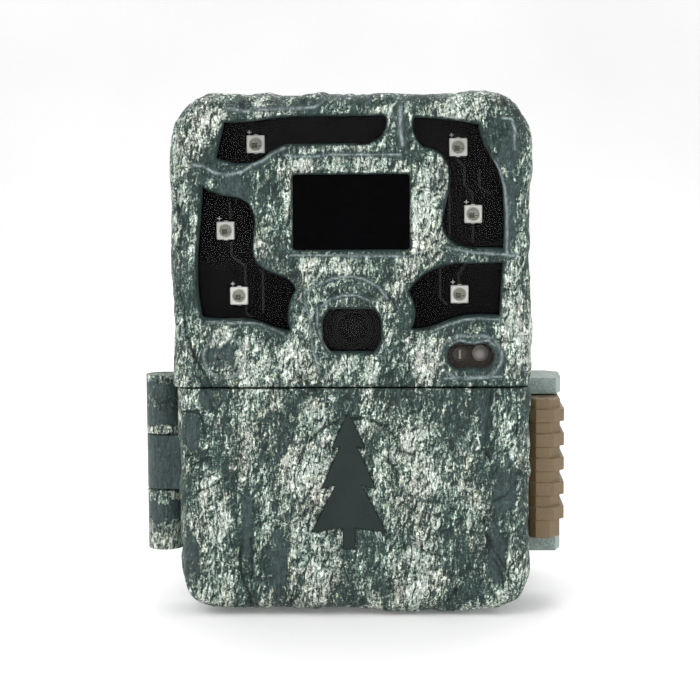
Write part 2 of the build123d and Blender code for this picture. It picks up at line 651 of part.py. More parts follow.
socket_left = card_end - card_length - 1.6
with BuildPart() as sd_socket:
    block(socket_left, panel_inner[0] - 0.2, control_board_y + 1.0, card_y + card_thickness / 2 + 0.4,
          card_z - card_width / 2 - 0.9, card_z + card_width / 2 + 0.9)
    block(card_end - card_length - 0.3, panel_inner[0], card_y - card_thickness / 2 - 0.1,
          card_y + card_thickness / 2 + 0.1, card_z - card_width / 2 - 0.15, card_z + card_width / 2 + 0.15,
          Mode.SUBTRACT)
save(sd_socket, "sd_socket")

with BuildPart() as sd_card:
    with BuildSketch(facing(card_y + card_thickness / 2)):
        with BuildLine():
            Polyline((card_end, card_z - card_width / 2), (card_end, card_z + card_width / 2),
                     (card_end - card_length, card_z + card_width / 2),
                     (card_end - card_length, card_z - card_width / 2 + 3.0),
                     (card_end - card_length + 3.0, card_z - card_width / 2), close=True)
        make_face()
    extrude(amount=card_thickness)
save(sd_card, "sd_card")

for label, (x, z) in pad_buttons.items():
    with BuildPart() as button:
        rod_y(x, z, button_radius, plateau_y - 0.9, plateau_inner_y + 0.3)
        fillet(button.edges().group_by(Axis.Y)[0], 0.5)
        rod_y(x, z, button_radius + 0.6, plateau_inner_y + 0.05, plateau_inner_y + 0.6)
    save(button, label)

with BuildPart() as power_switch:
    block(switch_x - 2.5, switch_x + 2.5, plateau_y - 1.2, plateau_inner_y + 0.1, switch_z - 1.5, switch_z + 1.5)
    fillet(power_switch.edges().group_by(Axis.Y)[0], 0.4)
    block(switch_x - 4.2, switch_x + 4.2, plateau_inner_y + 0.05, plateau_inner_y + 0.7, switch_z - 2.4, switch_z + 2.4)
save(power_switch, "power_switch")

# ---------------------------------------------------------------- door
hook_groove = (hook_front - 1.0, hook_back + fit_gap)
hook_slack = 0.6
tree_x, tree_z = -1.0, 33.4
tree_depth = 0.8
door_middle = (case_height + door_bottom) / 2
with BuildSketch() as tree_shape:
    with BuildLine():
        branches = Polyline((0, 17.5), (-4.2, 8.2), (-2.1, 8.8), (-6.7, -1.6), (-3.3, -0.8), (-9.2, -12.4),
                            (-1.5, -11.2), (-1.5, -16.6), (0, -16.6))
        mirror(branches, about=Plane.YZ)
    make_face()

with BuildPart() as door_shell:
    with BuildSketch(facing(parting_y - door_gap)):
        add(case_outline(case_width, case_height - door_bottom, corner_radius, door_bottom, door_top, door_middle))
    extrude(amount=parting_y - door_gap - front_y)
    rim = door_shell.edges().group_by(Axis.Y)[0]
    fillet(rim.filter_by(lambda e: e.center().Z < door_top - 0.1), edge_round)
    with BuildSketch(facing(parting_y)):
        add(case_outline(case_width - 2 * wall, case_height - door_bottom - 2 * wall, inner_radius,
                         door_bottom + wall, door_top - wall, door_middle))
    extrude(amount=parting_y - front_y - door_wall, mode=Mode.SUBTRACT)
    with BuildSketch(facing(front_y + tree_depth)):
        with Locations((tree_x, tree_z)):
            add(tree_shape.sketch)
    extrude(amount=tree_depth + 1, mode=Mode.SUBTRACT)
    # groove that the latch's hook drops into
    block(case_width / 2 - hook_reach - fit_gap, case_width / 2 + 1, *hook_groove,
          hook_low - hook_slack, hook_high + hook_slack, Mode.SUBTRACT)
    # hinge: the middle knuckle belongs to the door
    middle = (knuckle_heights[1] + knuckle_gap / 2, knuckle_heights[2] - knuckle_gap / 2)
    rod_z(hinge_x, parting_y, knuckle_radius, *middle)
    block(hinge_x, -case_width / 2 + 0.5, parting_y - knuckle_radius, parting_y - door_gap, *middle)
    rod_z(hinge_x, parting_y, pin_radius + pin_clearance, *middle, Mode.SUBTRACT)
save(door_shell, "door_shell")

with BuildPart() as door_emblem:
    with BuildSketch(facing(front_y + tree_depth)):
        with Locations((tree_x, tree_z)):
            add(tree_shape.sketch)
        offset(amount=-0.08, kind=Kind.INTERSECTION, mode=Mode.REPLACE)
    extrude(amount=tree_depth)
save(door_emblem, "door_emblem")

with BuildPart() as hinge_pin:
    rod_z(hinge_x, parting_y, pin_radius, knuckle_heights[0] + 1.0, knuckle_heights[3] - 1.0)
save(hinge_pin, "hinge_pin")

# ---------------------------------------------------------------- latch
lever_inner = case_width / 2 + latch_gap
lever_front = -28.8
lever_outer = pivot_x + 4.0
rib_outer = pivot_x + 5.0


def lever_section(outer):
    """The lever's faceted cross-section for a given outer face."""
    with BuildSketch() as section:
        with BuildLine():
            Polyline((lever_inner, lever_front + 1.2), (lever_inner + 1.2, lever_front), (outer - 2.6, lever_front),
                     (outer, lever_front + 3.2), (outer, pivot_y - 1.0), (outer - 1.6, pivot_y + 3.2),
                     (pivot_x - 1.8, pivot_y + 3.4), (lever_inner, pivot_y + 1.4), close=True)
        make_face()
    return section.sketch


with BuildPart() as latch_lever:
    with BuildSketch(level(latch_low)):
        add(lever_section(lever_outer))
    extrude(amount=latch_high - latch_low)
    rib_middle = (latch_low + latch_high) / 2
    for count in range(rib_count):
        rib_low = rib_middle + (count - (rib_count - 1) / 2) * rib_pitch - rib_height / 2
        with BuildSketch(level(rib_low)):
            add(lever_section(rib_outer))
        extrude(amount=rib_height)
    block(case_width / 2 - hook_reach, lever_inner + 0.5, hook_front, hook_back, hook_low, hook_high)
    rod_z(pivot_x, pivot_y, pin_radius + pin_clearance, latch_low, latch_high, Mode.SUBTRACT)
save(latch_lever, "latch_lever")

with BuildPart() as latch_pin:
    rod_z(pivot_x, pivot_y, pin_radius, latch_low - latch_gap - ear_thickness + 0.6,
          latch_high + latch_gap + ear_thickness - 0.6)
save(latch_pin, "latch_pin")

# ---------------------------------------------------------------- battery tray
hatch_high = hatch_low + hatch_thickness
cell_low = hatch_high + 2.6
cell_high = cell_low + cell_length
tray_high = cell_high + 2.0
tray_front = tray_y - tray_depth / 2
tray_back = tray_y + tray_depth / 2
cells_at = [((column - (cell_columns - 1) / 2) * cell_pitch, tray_y + (row - (cell_rows - 1) / 2) * cell_pitch)
            for column in range(cell_columns) for row in range(cell_rows)]

with BuildPart() as battery_tray:
    block(-tray_width / 2, tray_width / 2, tray_front, tray_back, hatch_high, tray_high)
    for x, y in cells_at:
        rod_z(x, y, cell_radius + 0.1, hatch_high + 1.2, tray_high - 1.2, Mode.SUBTRACT)
    # the cells load from the front and the back of the tray
    block(-tray_width / 2 + 2.4, tray_width / 2 - 2.4, tray_front - 1, tray_front + 4.6, hatch_high + 1.2,
          tray_high - 1.2, Mode.SUBTRACT)
    block(-tray_width / 2 + 2.4, tray_width / 2 - 2.4, tray_back - 4.6, tray_back + 1, hatch_high + 1.2,
          tray_high - 1.2, Mode.SUBTRACT)
save(battery_tray, "battery_tray")

with BuildPart() as battery_cells:
    for x, y in cells_at:
        rod_z(x, y, cell_radius - 0.1, cell_low, cell_high - 1.2)
        rod_z(x, y, 2.7, cell_high - 1.2, cell_high)
save(battery_cells, "battery_cells")

with BuildPart() as battery_contacts:
    for x, y in cells_at:
        rod_z(x, y, 4.6, hatch_high + 1.2, hatch_high + 1.5)
        rod_z(x, y, 3.2, hatch_high + 1.5, cell_low)
        rod_z(x, y, 2.2, hatch_high + 1.5, cell_low, Mode.SUBTRACT)
        rod_z(x, y, 4.6, cell_high, tray_high - 1.2)
save(battery_contacts, "battery_contacts")

with BuildPart() as battery_hatch:
    block(-tray_width / 2, tray_width / 2, tray_front, tray_back, hatch_low, hatch_high)
    fillet(battery_hatch.edges().filter_by(Axis.Z), 2.0)
    block(-tray_width / 2 - 1, tray_width / 2 + 1, tray_front - 1, tray_back + 1, hatch_high - 1.5,
          hatch_high - 0.7, Mode.SUBTRACT)
    block(-tray_width / 2 + 1.2, tray_width / 2 - 1.2, tray_front + 1.2, tray_back - 1.2, hatch_high - 1.6,
          hatch_high - 0.6)
    # finger pull
    with Locations((0, tray_y, hatch_low)):
        Cylinder(5.0, 2.4, mode=Mode.SUBTRACT)
    block(-5.5, 5.5, tray_y - 0.9, tray_y + 0.9, hatch_low, hatch_low + 1.6)
save(battery_hatch, "battery_hatch")

with BuildPart() as hatch_seal:
    block(-tray_width / 2 - 0.1, tray_width / 2 + 0.1, tray_front - 0.1, tray_back + 0.1, hatch_high - 1.5,
          hatch_high - 0.7)
    block(-tray_width / 2 + 1.2, tray_width / 2 - 1.2, tray_front + 1.2, tray_back - 1.2, hatch_high - 1.6,
          hatch_high - 0.6, Mode.SUBTRACT)
save(hatch_seal, "hatch_seal")

# ---------------------------------------------------------------- base fittings
with BuildPart() as tripod_insert:
    rod_z(0, tripod_y, insert_radius, 0.1, insert_length)
    rod_z(0, tripod_y, tripod_radius, 0.1, insert_length, Mode.SUBTRACT)
save(tripod_insert, "tripod_insert")

with BuildPart() as dc_jack:
    block(jack_x - jack_half, jack_x + jack_half, jack_y - 4.0, jack_y + jack_half, wall + 0.1, 14.0)
    rod_z(jack_x, jack_y, 2.9, wall, 12.0, Mode.SUBTRACT)
    rod_z(jack_x, jack_y, 0.9, wall + 2.4, 12.2)
save(dc_jack, "dc_jack")

with BuildPart() as dc_cover:
    rod_z(jack_x, jack_y, jack_hole - 0.3, 0.2, wall - 0.2)
    rod_z(jack_x, jack_y, 2.6, wall - 0.3, wall + 2.0)
    block(jack_x - 1.0, jack_x + 1.0, jack_y - 3.2, jack_y + 3.2, 0.1, 1.4, Mode.SUBTRACT)
    block(jack_x - 0.4, jack_x + 0.4, jack_y - 2.6, jack_y + 2.6, 0.2, 1.6)
save(dc_cover, "dc_cover")

# ---------------------------------------------------------------- back bracket
half = bracket_width / 2
with BuildPart() as mount_bracket:
    with BuildSketch(facing(plate_back)):
        with Locations((0, (tilt_z + bracket_high) / 2)):
            Rectangle(bracket_width, bracket_high - tilt_z)
    extrude(amount=plate_back - bracket_front)
    for side in (-1, 1):
        near = min(side * half, side * (half - cheek_thickness))
        with BuildSketch(Plane.YZ.offset(near)):
            with BuildLine():
                Polyline((bracket_front, bracket_high - 3), (bracket_front, tilt_z - 1), (tilt_y - 1.6, tilt_z - 4.4),
                         (cheek_back - 2.4, tilt_z - 4.4), (cheek_back, tilt_z - 2), (cheek_back, bracket_high - 4),
                         (cheek_back - 4, bracket_high), (bracket_front + 3, bracket_high), close=True)
            make_face()
            tooth_count = int((bracket_high - tilt_z - 6) / tooth_pitch)
            for count in range(tooth_count):
                tooth_z = tilt_z + count * tooth_pitch
                with BuildLine():
                    Polyline((cheek_back - 0.2, tooth_z), (tooth_tip, tooth_z + tooth_pitch / 2),
                             (cheek_back - 0.2, tooth_z + tooth_pitch), close=True)
                make_face()
        extrude(amount=cheek_thickness)
    rod_x(tilt_y, tilt_z, tilt_radius, -half, half)
    for z in (41.0, 84.0):
        block(-half + 1, half - 1, plate_back - 0.2, plate_back + 1.6, z - 0.8, z + 0.8)
    # room for the housing's two lugs
    for side in (-1, 1):
        near, far = sorted((side * 14.8, side * 19.6))
        block(near, far, bracket_front - 1, tilt_y + tilt_radius + 1, tilt_z - tilt_radius - 1,
              tilt_z + tilt_radius + 1.6, Mode.SUBTRACT)
    rod_x(tilt_y, tilt_z, tilt_pin + pin_clearance, -half - 1, half + 1, Mode.SUBTRACT)
    block(-half - 1, half + 1, strap_front, strap_back, strap_low, strap_high, Mode.SUBTRACT)
    rod_x(cable_y, cable_z, cable_radius, 0, half + 1, Mode.SUBTRACT)
    rod_x(cable_y, cable_z, cable_wide, -half - 1, 0, Mode.SUBTRACT)
save(mount_bracket, "mount_bracket")

with BuildPart() as bracket_pin:
    rod_x(tilt_y, tilt_z, tilt_pin, -half + 0.4, half - 0.4)
save(bracket_pin, "bracket_pin")

pieces = [name for name in sorted(os.listdir("parts")) if name.endswith(".step")]
print(len(pieces), "pieces written")
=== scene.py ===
import math
import bpy
import bmesh
import numpy as np
from mathutils import Matrix, Vector
from mathutils.geometry import delaunay_2d_cdt


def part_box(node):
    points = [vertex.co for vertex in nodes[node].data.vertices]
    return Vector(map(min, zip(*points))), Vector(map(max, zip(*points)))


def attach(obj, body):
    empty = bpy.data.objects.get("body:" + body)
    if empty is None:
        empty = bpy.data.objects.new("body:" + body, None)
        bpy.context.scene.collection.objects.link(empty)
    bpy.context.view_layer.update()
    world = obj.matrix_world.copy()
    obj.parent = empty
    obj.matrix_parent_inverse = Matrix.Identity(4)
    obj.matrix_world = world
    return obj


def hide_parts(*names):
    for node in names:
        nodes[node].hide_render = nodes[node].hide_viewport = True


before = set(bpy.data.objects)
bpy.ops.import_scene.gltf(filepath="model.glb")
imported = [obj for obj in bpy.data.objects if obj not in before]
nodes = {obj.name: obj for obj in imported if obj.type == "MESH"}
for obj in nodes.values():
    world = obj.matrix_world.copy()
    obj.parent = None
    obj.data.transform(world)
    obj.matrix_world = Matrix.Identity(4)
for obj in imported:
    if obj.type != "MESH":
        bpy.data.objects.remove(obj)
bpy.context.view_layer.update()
print("frame loaded:", len(nodes), "nodes")


def tint(red, green, blue):
    # display colour 0-255 to scene-linear
    values = np.array([red, green, blue]) / 255
    linear = np.where(values <= 0.04045, values / 12.92, ((values + 0.055) / 1.055) ** 2.4)
    return (*[float(x) for x in linear], 1.0)


class Wire:
    # a node's output that can be added, multiplied and subtracted, so a mask is written as its formula
    def __init__(self, graph, socket):
        self.graph, self.socket = graph, socket

    def __add__(self, other):
        return self.graph.math("ADD", self, other)

    def __mul__(self, other):
        return self.graph.math("MULTIPLY", self, other)

    def __sub__(self, other):
        return self.graph.math("SUBTRACT", self, other)

    def __rsub__(self, other):
        return self.graph.math("SUBTRACT", other, self)

    __radd__, __rmul__ = __add__, __mul__


class Graph:
    # short calls for the nodes of one tree
    def __init__(self, tree):
        self.tree = tree

    def node(self, kind, sockets, output=0, **settings):
        made = self.tree.nodes.new("ShaderNode" + kind)
        for key, value in settings.items():
            setattr(made, key, value)
        self.fill(made, sockets)
        return Wire(self, made.outputs[output])

    def fill(self, made, sockets):
        for key, value in sockets.items():
            if isinstance(value, Wire):
                self.tree.links.new(value.socket, made.inputs[key])
            else:
                made.inputs[key].default_value = value

    def math(self, operation, a, b=0.0):
        return self.node("Math", {0: a, 1: b}, operation=operation)

    def ramp(self, value, low, high, start=0.0, end=1.0):
        return self.node("MapRange", {"Value": value, "From Min": low, "From Max": high, "To Min": start,
                                      "To Max": end}, interpolation_type="SMOOTHSTEP")

    def blend(self, factor, a, b, mode="MIX"):
        return self.node("Mix", {0: factor, 6: a, 7: b}, 2, data_type="RGBA", blend_type=mode)

    def scaled(self, color, gain):
        grey = self.node("CombineColor", {0: gain, 1: gain, 2: gain})
        return self.blend(1.0, color, grey, "MULTIPLY")

    def noise(self, vector, size, detail=4.0, rough=0.55, bent=0.0, output=0):
        return self.node("TexNoise", {"Vector": vector, "Scale": size, "Detail": detail, "Roughness": rough,
                                      "Distortion": bent}, output)

    def place(self, scale=(1000, 1000, 1000), lean=0.0, shift=(0, 0, 0)):
        # object coordinates in millimetres, stretched and leaned about the y axis
        spot = self.node("TexCoord", {}, "Object")
        return self.node("Mapping", {"Vector": spot, "Scale": scale, "Rotation": (0, math.radians(lean), 0),
                                     "Location": shift})

    def group(self, tree, sockets):
        # a shared group with its own values: its outputs by name
        made = self.tree.nodes.new("ShaderNodeGroup")
        made.node_tree = tree
        self.fill(made, sockets)
        return {output.name: Wire(self, output) for output in made.outputs}


def newGroup(name, inputs):
    tree = bpy.data.node_groups.new(name, "ShaderNodeTree")
    for label, value in inputs.items():
        kind = "NodeSocketColor" if label == "Color" else "NodeSocketFloat"
        tree.interface.new_socket(name=label, in_out="INPUT", socket_type=kind).default_value = value
    graph, source = Graph(tree), tree.nodes.new("NodeGroupInput")
    return graph, [Wire(graph, source.outputs[label]) for label in inputs]


def closeGroup(graph, results):
    for label in results:
        kind = "NodeSocketColor" if label == "Color" else "NodeSocketFloat"
        graph.tree.interface.new_socket(name=label, in_out="OUTPUT", socket_type=kind)
    graph.fill(graph.tree.nodes.new("NodeGroupOutput"), results)
    return graph.tree


bark = {
    "deep": tint(32, 48, 46), "slate": tint(62, 84, 80), "haze": tint(98, 118, 110), "mint": tint(176, 206, 188),
    "sage": tint(132, 156, 142), "cream": tint(206, 210, 192), "lichen": tint(160, 176, 126),
    # crest is the painted highlight colour for ridge tops, crack the painted shade colour for sunk cracks and grooves
    "rose": tint(168, 144, 142), "crest": tint(186, 200, 202), "white": tint(240, 246, 236),
    "bare": tint(58, 74, 75), "crack": tint(15, 22, 22),
    "grain": (1000, 1000, 520), "lean": 11, "litStep": (-0.30, 0.0, 0.30), "flakeSize": 0.95,
}


def makeBarkGroup():
    # printed bark: level = noises + each flake's tone + the relief's plates and patches; light paint stands where
    # the level passes four thresholds, over a slate coat, with painted shade in the cracks and a painted highlight on
    # the crests drawn last
    graph, (plate, crack, crest, bare, cover) = newGroup(
        "barkCamo", {"Plate": 0.5, "Crack": 0.0, "Crest": 0.0, "Bare": 0.0, "Cover": 0.0})
    blend, ramp, noise, place = graph.blend, graph.ramp, graph.noise, graph.place
    lean = place(bark["grain"], bark["lean"])
    patch = noise(lean, 0.16, 5, 0.62, 0.5)
    fleck = noise(lean, 1.15, 6, 0.74, 1.0)
    grit = noise(place(), 2.3, 4, 0.7, 0.3)
    speck = noise(place(), 4.6, 2, 0.6)
    # flakes: cells with bent borders, each with its own tone, and dark lines between them
    bend = noise(lean, 0.9, 3, 0.6, output=1)
    bent = graph.node("VectorMath", {0: bend, 1: (2.4, 2.4, 2.4), 2: lean}, operation="MULTIPLY_ADD")
    cells = {"Vector": bent, "Scale": bark["flakeSize"]}
    flakeTone = graph.node("SeparateColor", {0: graph.node("TexVoronoi", cells, 1)})
    borderLine = ramp(graph.node("TexVoronoi", cells, feature="DISTANCE_TO_EDGE"), 0.03, 0.16, 1.0, 0.0)
    # lit crinkles: a noise less itself one short step to the upper left
    beside = place(bark["grain"], bark["lean"], bark["litStep"])
    lit = noise(lean, 0.72, 5, 0.74, 0.8) - noise(beside, 0.72, 5, 0.74, 0.8)
    level = (fleck * 0.60 + grit * 0.40 + (flakeTone - 0.5) * 0.105 - borderLine * 0.035 + lit * 0.70
             + (plate - 0.5) * 0.08 + (patch - 0.5) * 0.52 + cover * 0.34 - bare * 0.19 - crack * 0.12)
    middle, half = ramp(level, 0.450, 0.485), ramp(level, 0.500, 0.522)
    light, bright = ramp(level, 0.530, 0.552), ramp(level, 0.568, 0.600)
    # base coat
    mottle = noise(lean, 0.5, 4, 0.6, 0.3)
    base = blend(ramp(mottle, 0.34, 0.62), bark["deep"], bark["slate"])
    base = blend(ramp(grit, 0.52, 0.70) * 0.5, base, bark["haze"])
    # light coat, which changes hue from patch to patch
    hue = noise(place((1000, 1000, 700), shift=(31, 7, 12)), 0.10, 3, 0.6)
    paint = blend(ramp(hue, 0.40, 0.56), bark["cream"], bark["mint"])
    for name, shift, size, low, high, strength in (
            ("sage", (5, 70, 40), 0.55, 0.52, 0.64, 1.0), ("lichen", (90, 3, 11), 0.22, 0.60, 0.68, 0.75),
            ("rose", (14, 55, 90), 0.19, 0.61, 0.70, 0.7)):
        paint = blend(ramp(noise(place(shift=shift), size, 3, 0.6), low, high) * strength, paint, bark[name])
    paint = blend(ramp(speck, 0.36, 0.5, 0.55, 1.0), bark["sage"], paint)
    color = blend(middle * 0.8, base, bark["haze"])
    color = blend(half * 0.8, color, blend(0.35, bark["sage"], paint))
    color = blend(light, color, paint)
    color = blend(bright * 0.7, color, bark["white"])
    color = graph.scaled(color, (flakeTone - 0.5) * 0.35 + ramp(speck, 0.3, 0.6, 0.9, 1.3))
    color = blend(borderLine * 0.35, color, bark["deep"])
    color = blend(bare * 0.7, color, bark["bare"])
    color = blend(ramp(lit, -0.035, -0.11, 0.0, 0.85), color, bark["deep"])
    # thin dark strokes between flecks, painted shade in the cracks and a painted highlight on the crests
    vein = noise(place((1000, 1000, 300), 9, (3, 3, 3)), 0.8, 4, 0.6, 1.2)
    veinMask = 1.0 - ramp(graph.math("ABSOLUTE", vein - 0.5), 0.0, 0.028)
    color = blend(veinMask * 0.6, color, bark["deep"])
    # painted shade: the sunk cracks and grooves are darkened toward near black
    color = blend(crack * 0.9, color, bark["crack"])
    # painted highlight along the ridge crests, broken up by noise
    crestHighlight = crest * ramp(grit, 0.30, 0.52, 0.15, 0.8) * ramp(mottle, 0.38, 0.56, 0.35, 1.0)
    height = (light * 0.45 + fleck * 0.8 + grit * 0.35 - veinMask * 0.4 - borderLine * 0.45 + flakeTone * 0.3)
    return closeGroup(graph, {
        "Color": blend(crestHighlight, color, bark["crest"]),
        "Roughness": light * 0.14 + 0.50 - graph.math("MAXIMUM", crest, bare) * 0.14,
        "Height": height * (1.0 - bare * 0.8)})


def makeGrainGroup():
    # fine moulded or brushed grain: a fine and a broad noise, as colour change, gloss change and height
    graph, (color, size, change, gloss, stretch) = newGroup(
        "fineGrain", {"Color": (0.5, 0.5, 0.5, 1), "Size": 1.5, "Change": 0.15, "Gloss": 0.45, "Stretch": 1.0})
    spot = graph.place()
    x, y, z = (graph.node("SeparateXYZ", {0: spot}, axis) for axis in range(3))
    fine = graph.noise(graph.node("CombineXYZ", {0: x * stretch, 1: y, 2: z}), size, 3, 0.6)
    broad = graph.noise(spot, 0.09, 3, 0.55)
    gain = change * graph.ramp(fine * 0.6 + broad * 0.4, 0.36, 0.64, -1.0, 1.0) + 1.0
    return closeGroup(graph, {"Color": graph.scaled(color, gain), "Roughness": gloss + (broad - 0.5) * 0.25,
                              "Height": fine})


def makeDustGroup():
    # pale dust that settles where a face looks up, broken by noise
    graph, (color, amount) = newGroup("settledDust", {"Color": (0.5, 0.5, 0.5, 1), "Amount": 0.3})
    up = graph.node("SeparateXYZ", {0: graph.node("NewGeometry", {}, "Normal")}, 2)
    mask = graph.ramp(up, 0.2, 0.95) * graph.ramp(graph.noise(graph.place(), 0.7, 5, 0.65), 0.42, 0.7) * amount
    return closeGroup(graph, {"Color": graph.blend(mask, color, tint(196, 196, 186))})


barkGroup, grainGroup, dustGroup = makeBarkGroup(), makeGrainGroup(), makeDustGroup()


def newMaterial(name, formula, **sockets):
    # formula gives the shader's linked inputs, the other sockets hold plain values; Bump is (height, strength, mm)
    material = bpy.data.materials.new(name)
    material.use_nodes = True
    graph, shader = Graph(material.node_tree), material.node_tree.nodes["Principled BSDF"]
    inputs = formula(graph)
    height, strength, depth = inputs.pop("Bump", (None, 0, 0))
    if strength:
        inputs["Normal"] = graph.node("Bump", {"Height": height, "Strength": strength, "Distance": depth / 1000})
    graph.fill(shader, {**inputs, **{key.replace("_", " "): value for key, value in sockets.items()}})
    return material


def plainFinish(name, color, size, change, gloss, bump, stretch=1.0, dust=0.0, **sockets):
    def formula(graph):
        grain = graph.group(grainGroup, {"Color": tint(*color), "Size": size, "Change": change, "Gloss": gloss,
                                         "Stretch": stretch})
        surface = grain["Color"]
        if dust:
            surface = graph.group(dustGroup, {"Color": surface, "Amount": dust})["Color"]
        return {"Base Color": surface, "Roughness": grain["Roughness"], "Bump": (grain["Height"], bump, 0.2)}
    return newMaterial(name, formula, **sockets)


def clearFinish(name, color, opacity, gloss, coat=0.0):
    # thin clear plastic: mostly see-through, with more body where the grain is denser
    def formula(graph):
        grain = graph.group(grainGroup, {"Color": tint(*color), "Size": 0.8, "Change": 0.12, "Gloss": gloss})
        return {"Base Color": grain["Color"], "Roughness": graph.math("ABSOLUTE", grain["Roughness"] * 0.6),
                "Alpha": grain["Height"] * 0.02 + opacity, "IOR": 1.49}
    return newMaterial(name, formula, Specular_IOR_Level=0.4, Coat_Weight=coat)


def barkShell(graph):
    # the shells carry plate, crack, crest, bare and cover as point attributes
    labels = ("Plate", "Crack", "Crest", "Bare", "Cover")
    masks = {label: graph.node("Attribute", {}, "Fac", attribute_name=label.lower(), attribute_type="GEOMETRY")
             for label in labels}
    made = graph.group(barkGroup, masks)
    return {"Base Color": made["Color"], "Roughness": made["Roughness"], "Bump": (made["Height"], 0.85, 0.7)}


# low, high and strength of each painted highlight band on the hinge, in millimetres of height
knuckleHighlightBands = ((56.5, 60.0, 0.7), (43.0, 45.8, 1.0), (26.4, 29.8, 1.0), (13.0, 21.5, 0.75), (50.5, 52.5, 0.5))


def barkKnuckle(graph):
    # bare slate, less the painted highlight bands where light camo stands for light on the knuckle tops and gaps: each
    # band is the product of two steps over a wavy height
    level = (graph.noise(graph.place(), 0.35, 3, 0.6) - 0.5) * 7.0 + graph.node("SeparateXYZ", {0: graph.place()}, 2)
    calm = 0.95
    for low, high, strength in knuckleHighlightBands:
        inside = graph.ramp(level, low - 0.4, low + 0.4) * graph.ramp(level, high - 0.4, high + 0.4, 1.0, 0.0)
        calm = calm - inside * strength
    made = graph.group(barkGroup, {"Plate": 0.5, "Cover": 0.22, "Bare": calm})
    return {"Base Color": made["Color"], "Roughness": made["Roughness"], "Bump": (made["Height"], 0.85, 0.7)}


def batterySleeve(graph):
    # battery jacket: dark sleeve with a plain copper band near the top end, by height in the cell
    band = graph.ramp(graph.node("SeparateXYZ", {0: graph.place()}, 2), 41.0, 41.6)
    grain = graph.noise(graph.place(), 0.8, 3, 0.5)
    color = graph.blend(band, tint(24, 25, 27), tint(170, 108, 62))
    return {"Base Color": graph.blend(grain * 0.2, color, tint(0, 0, 0)),
            "Roughness": graph.ramp(grain, 0.2, 0.8, 0.25, 0.4)}


def displayGlass(graph):
    # grey liquid crystal behind glass, with faint cell rows: the sum of two sines
    lines = [graph.math("SINE", graph.node("SeparateXYZ", {0: graph.place()}, axis) * 21.0) for axis in (0, 2)]
    return {"Base Color": graph.blend(graph.ramp(lines[0] + lines[1], -1.5, 2.0), tint(20, 24, 30), tint(30, 35, 42)),
            "Roughness": graph.ramp(graph.noise(graph.place(), 0.3, 2), 0.3, 0.7, 0.08, 0.16)}


def coatedGlass(graph):
    # coated front element: near-black with a weak green cast
    tone = graph.noise(graph.place(), 0.35, 2, 0.5)
    return {"Base Color": graph.blend(graph.ramp(tone, 0.35, 0.65), tint(26, 26, 28), tint(20, 24, 23)),
            "Roughness": graph.ramp(tone, 0.3, 0.7, 0.03, 0.08)}


# name, colour, grain size, colour change, gloss and bump
plain = {
    "ear": ("paleSlate", (132, 147, 142), 2.2, 0.3, 0.5, 0.3),
    "lensBlack": ("lensBlack", (13, 13, 14), 3.0, 0.15, 0.4, 0.02),
    "lampCup": ("lampCup", (70, 64, 58), 3.0, 0.15, 0.3, 0.02),
    "latch": ("tanLatch", (114, 95, 66), 3.0, 0.16, 0.5, 0.12),
    "emblem": ("emblemGreen", (30, 42, 40), 4.0, 0.3, 0.5, 0.2),
    "panel": ("panelGrey", (58, 62, 64), 4.0, 0.16, 0.55, 0.2),
    "blackPlastic": ("blackPlastic", (17, 18, 19), 3.0, 0.3, 0.42, 0.1),
    "blackGloss": ("sensorFilm", (3, 3, 4), 0.6, 0.3, 0.35, 0.02),
    "tray": ("trayPlastic", (38, 40, 42), 3.0, 0.2, 0.5, 0.12),
    "board": ("darkBoard", (6, 5, 6), 1.2, 0.35, 0.5, 0.05),
    "trace": ("maskedTrace", (34, 34, 37), 2.0, 0.2, 0.45, 0.0),
    "greenBoard": ("greenBoard", (20, 74, 45), 1.5, 0.3, 0.4, 0.05),
    "chip": ("chipBlack", (24, 24, 26), 5.0, 0.25, 0.5, 0.15),
    "ceramic": ("lampPackage", (250, 249, 242), 3.0, 0.08, 0.45, 0.05),
    "die": ("lampDie", (28, 26, 24), 6.0, 0.4, 0.3, 0.0),
    "steel": ("brightSteel", (176, 177, 178), 2.2, 0.15, 0.3, 0.08),
    "spring": ("springSteel", (196, 194, 188), 2.0, 0.12, 0.26, 0.05),
    "brass": ("brassInsert", (186, 150, 84), 2.0, 0.18, 0.32, 0.08),
    "rubber": ("sealRubber", (20, 20, 21), 3.5, 0.2, 0.75, 0.2),
    "button": ("keyGrey", (112, 116, 118), 4.0, 0.12, 0.55, 0.15),
    "enter": ("keyEnter", (172, 96, 40), 4.0, 0.12, 0.55, 0.15),
    "card": ("memoryCard", (30, 42, 70), 2.0, 0.15, 0.4, 0.05),
    "ribbon": ("flatRibbon", (186, 176, 150), 1.6, 0.15, 0.4, 0.05),
    "metalCan": ("metalCan", (150, 152, 154), 1.6, 0.14, 0.35, 0.05),
}
special = {
    "ear": {"dust": 0.5}, "latch": {"dust": 0.25}, "rubber": {"dust": 0.3}, "die": {"Metallic": 0.5},
    "steel": {"stretch": 0.2, "Metallic": 1.0}, "ribbon": {"stretch": 6.0}, "spring": {"Metallic": 1.0},
    "brass": {"Metallic": 1.0}, "metalCan": {"Metallic": 1.0},
}
for key, level in (("lensBlack", 0.10), ("emblem", 0.2), ("blackPlastic", 0.25), ("blackGloss", 0.015),
                   ("board", 0.04), ("trace", 0.15)):
    special[key] = {"Specular_IOR_Level": level}
finish = {key: plainFinish(*values, **special.get(key, {})) for key, values in plain.items()}
finish["bark"] = newMaterial("barkPainted", barkShell, Specular_IOR_Level=0.35)
finish["barkPlain"] = newMaterial("knuckleBarkPaintedBands", barkKnuckle, Specular_IOR_Level=0.35)
finish["window"] = clearFinish("smokedWindow", (6, 5, 5), 0.06, 0.05)
finish["clear"] = clearFinish("clearCover", (12, 12, 13), 0.10, 0.04)
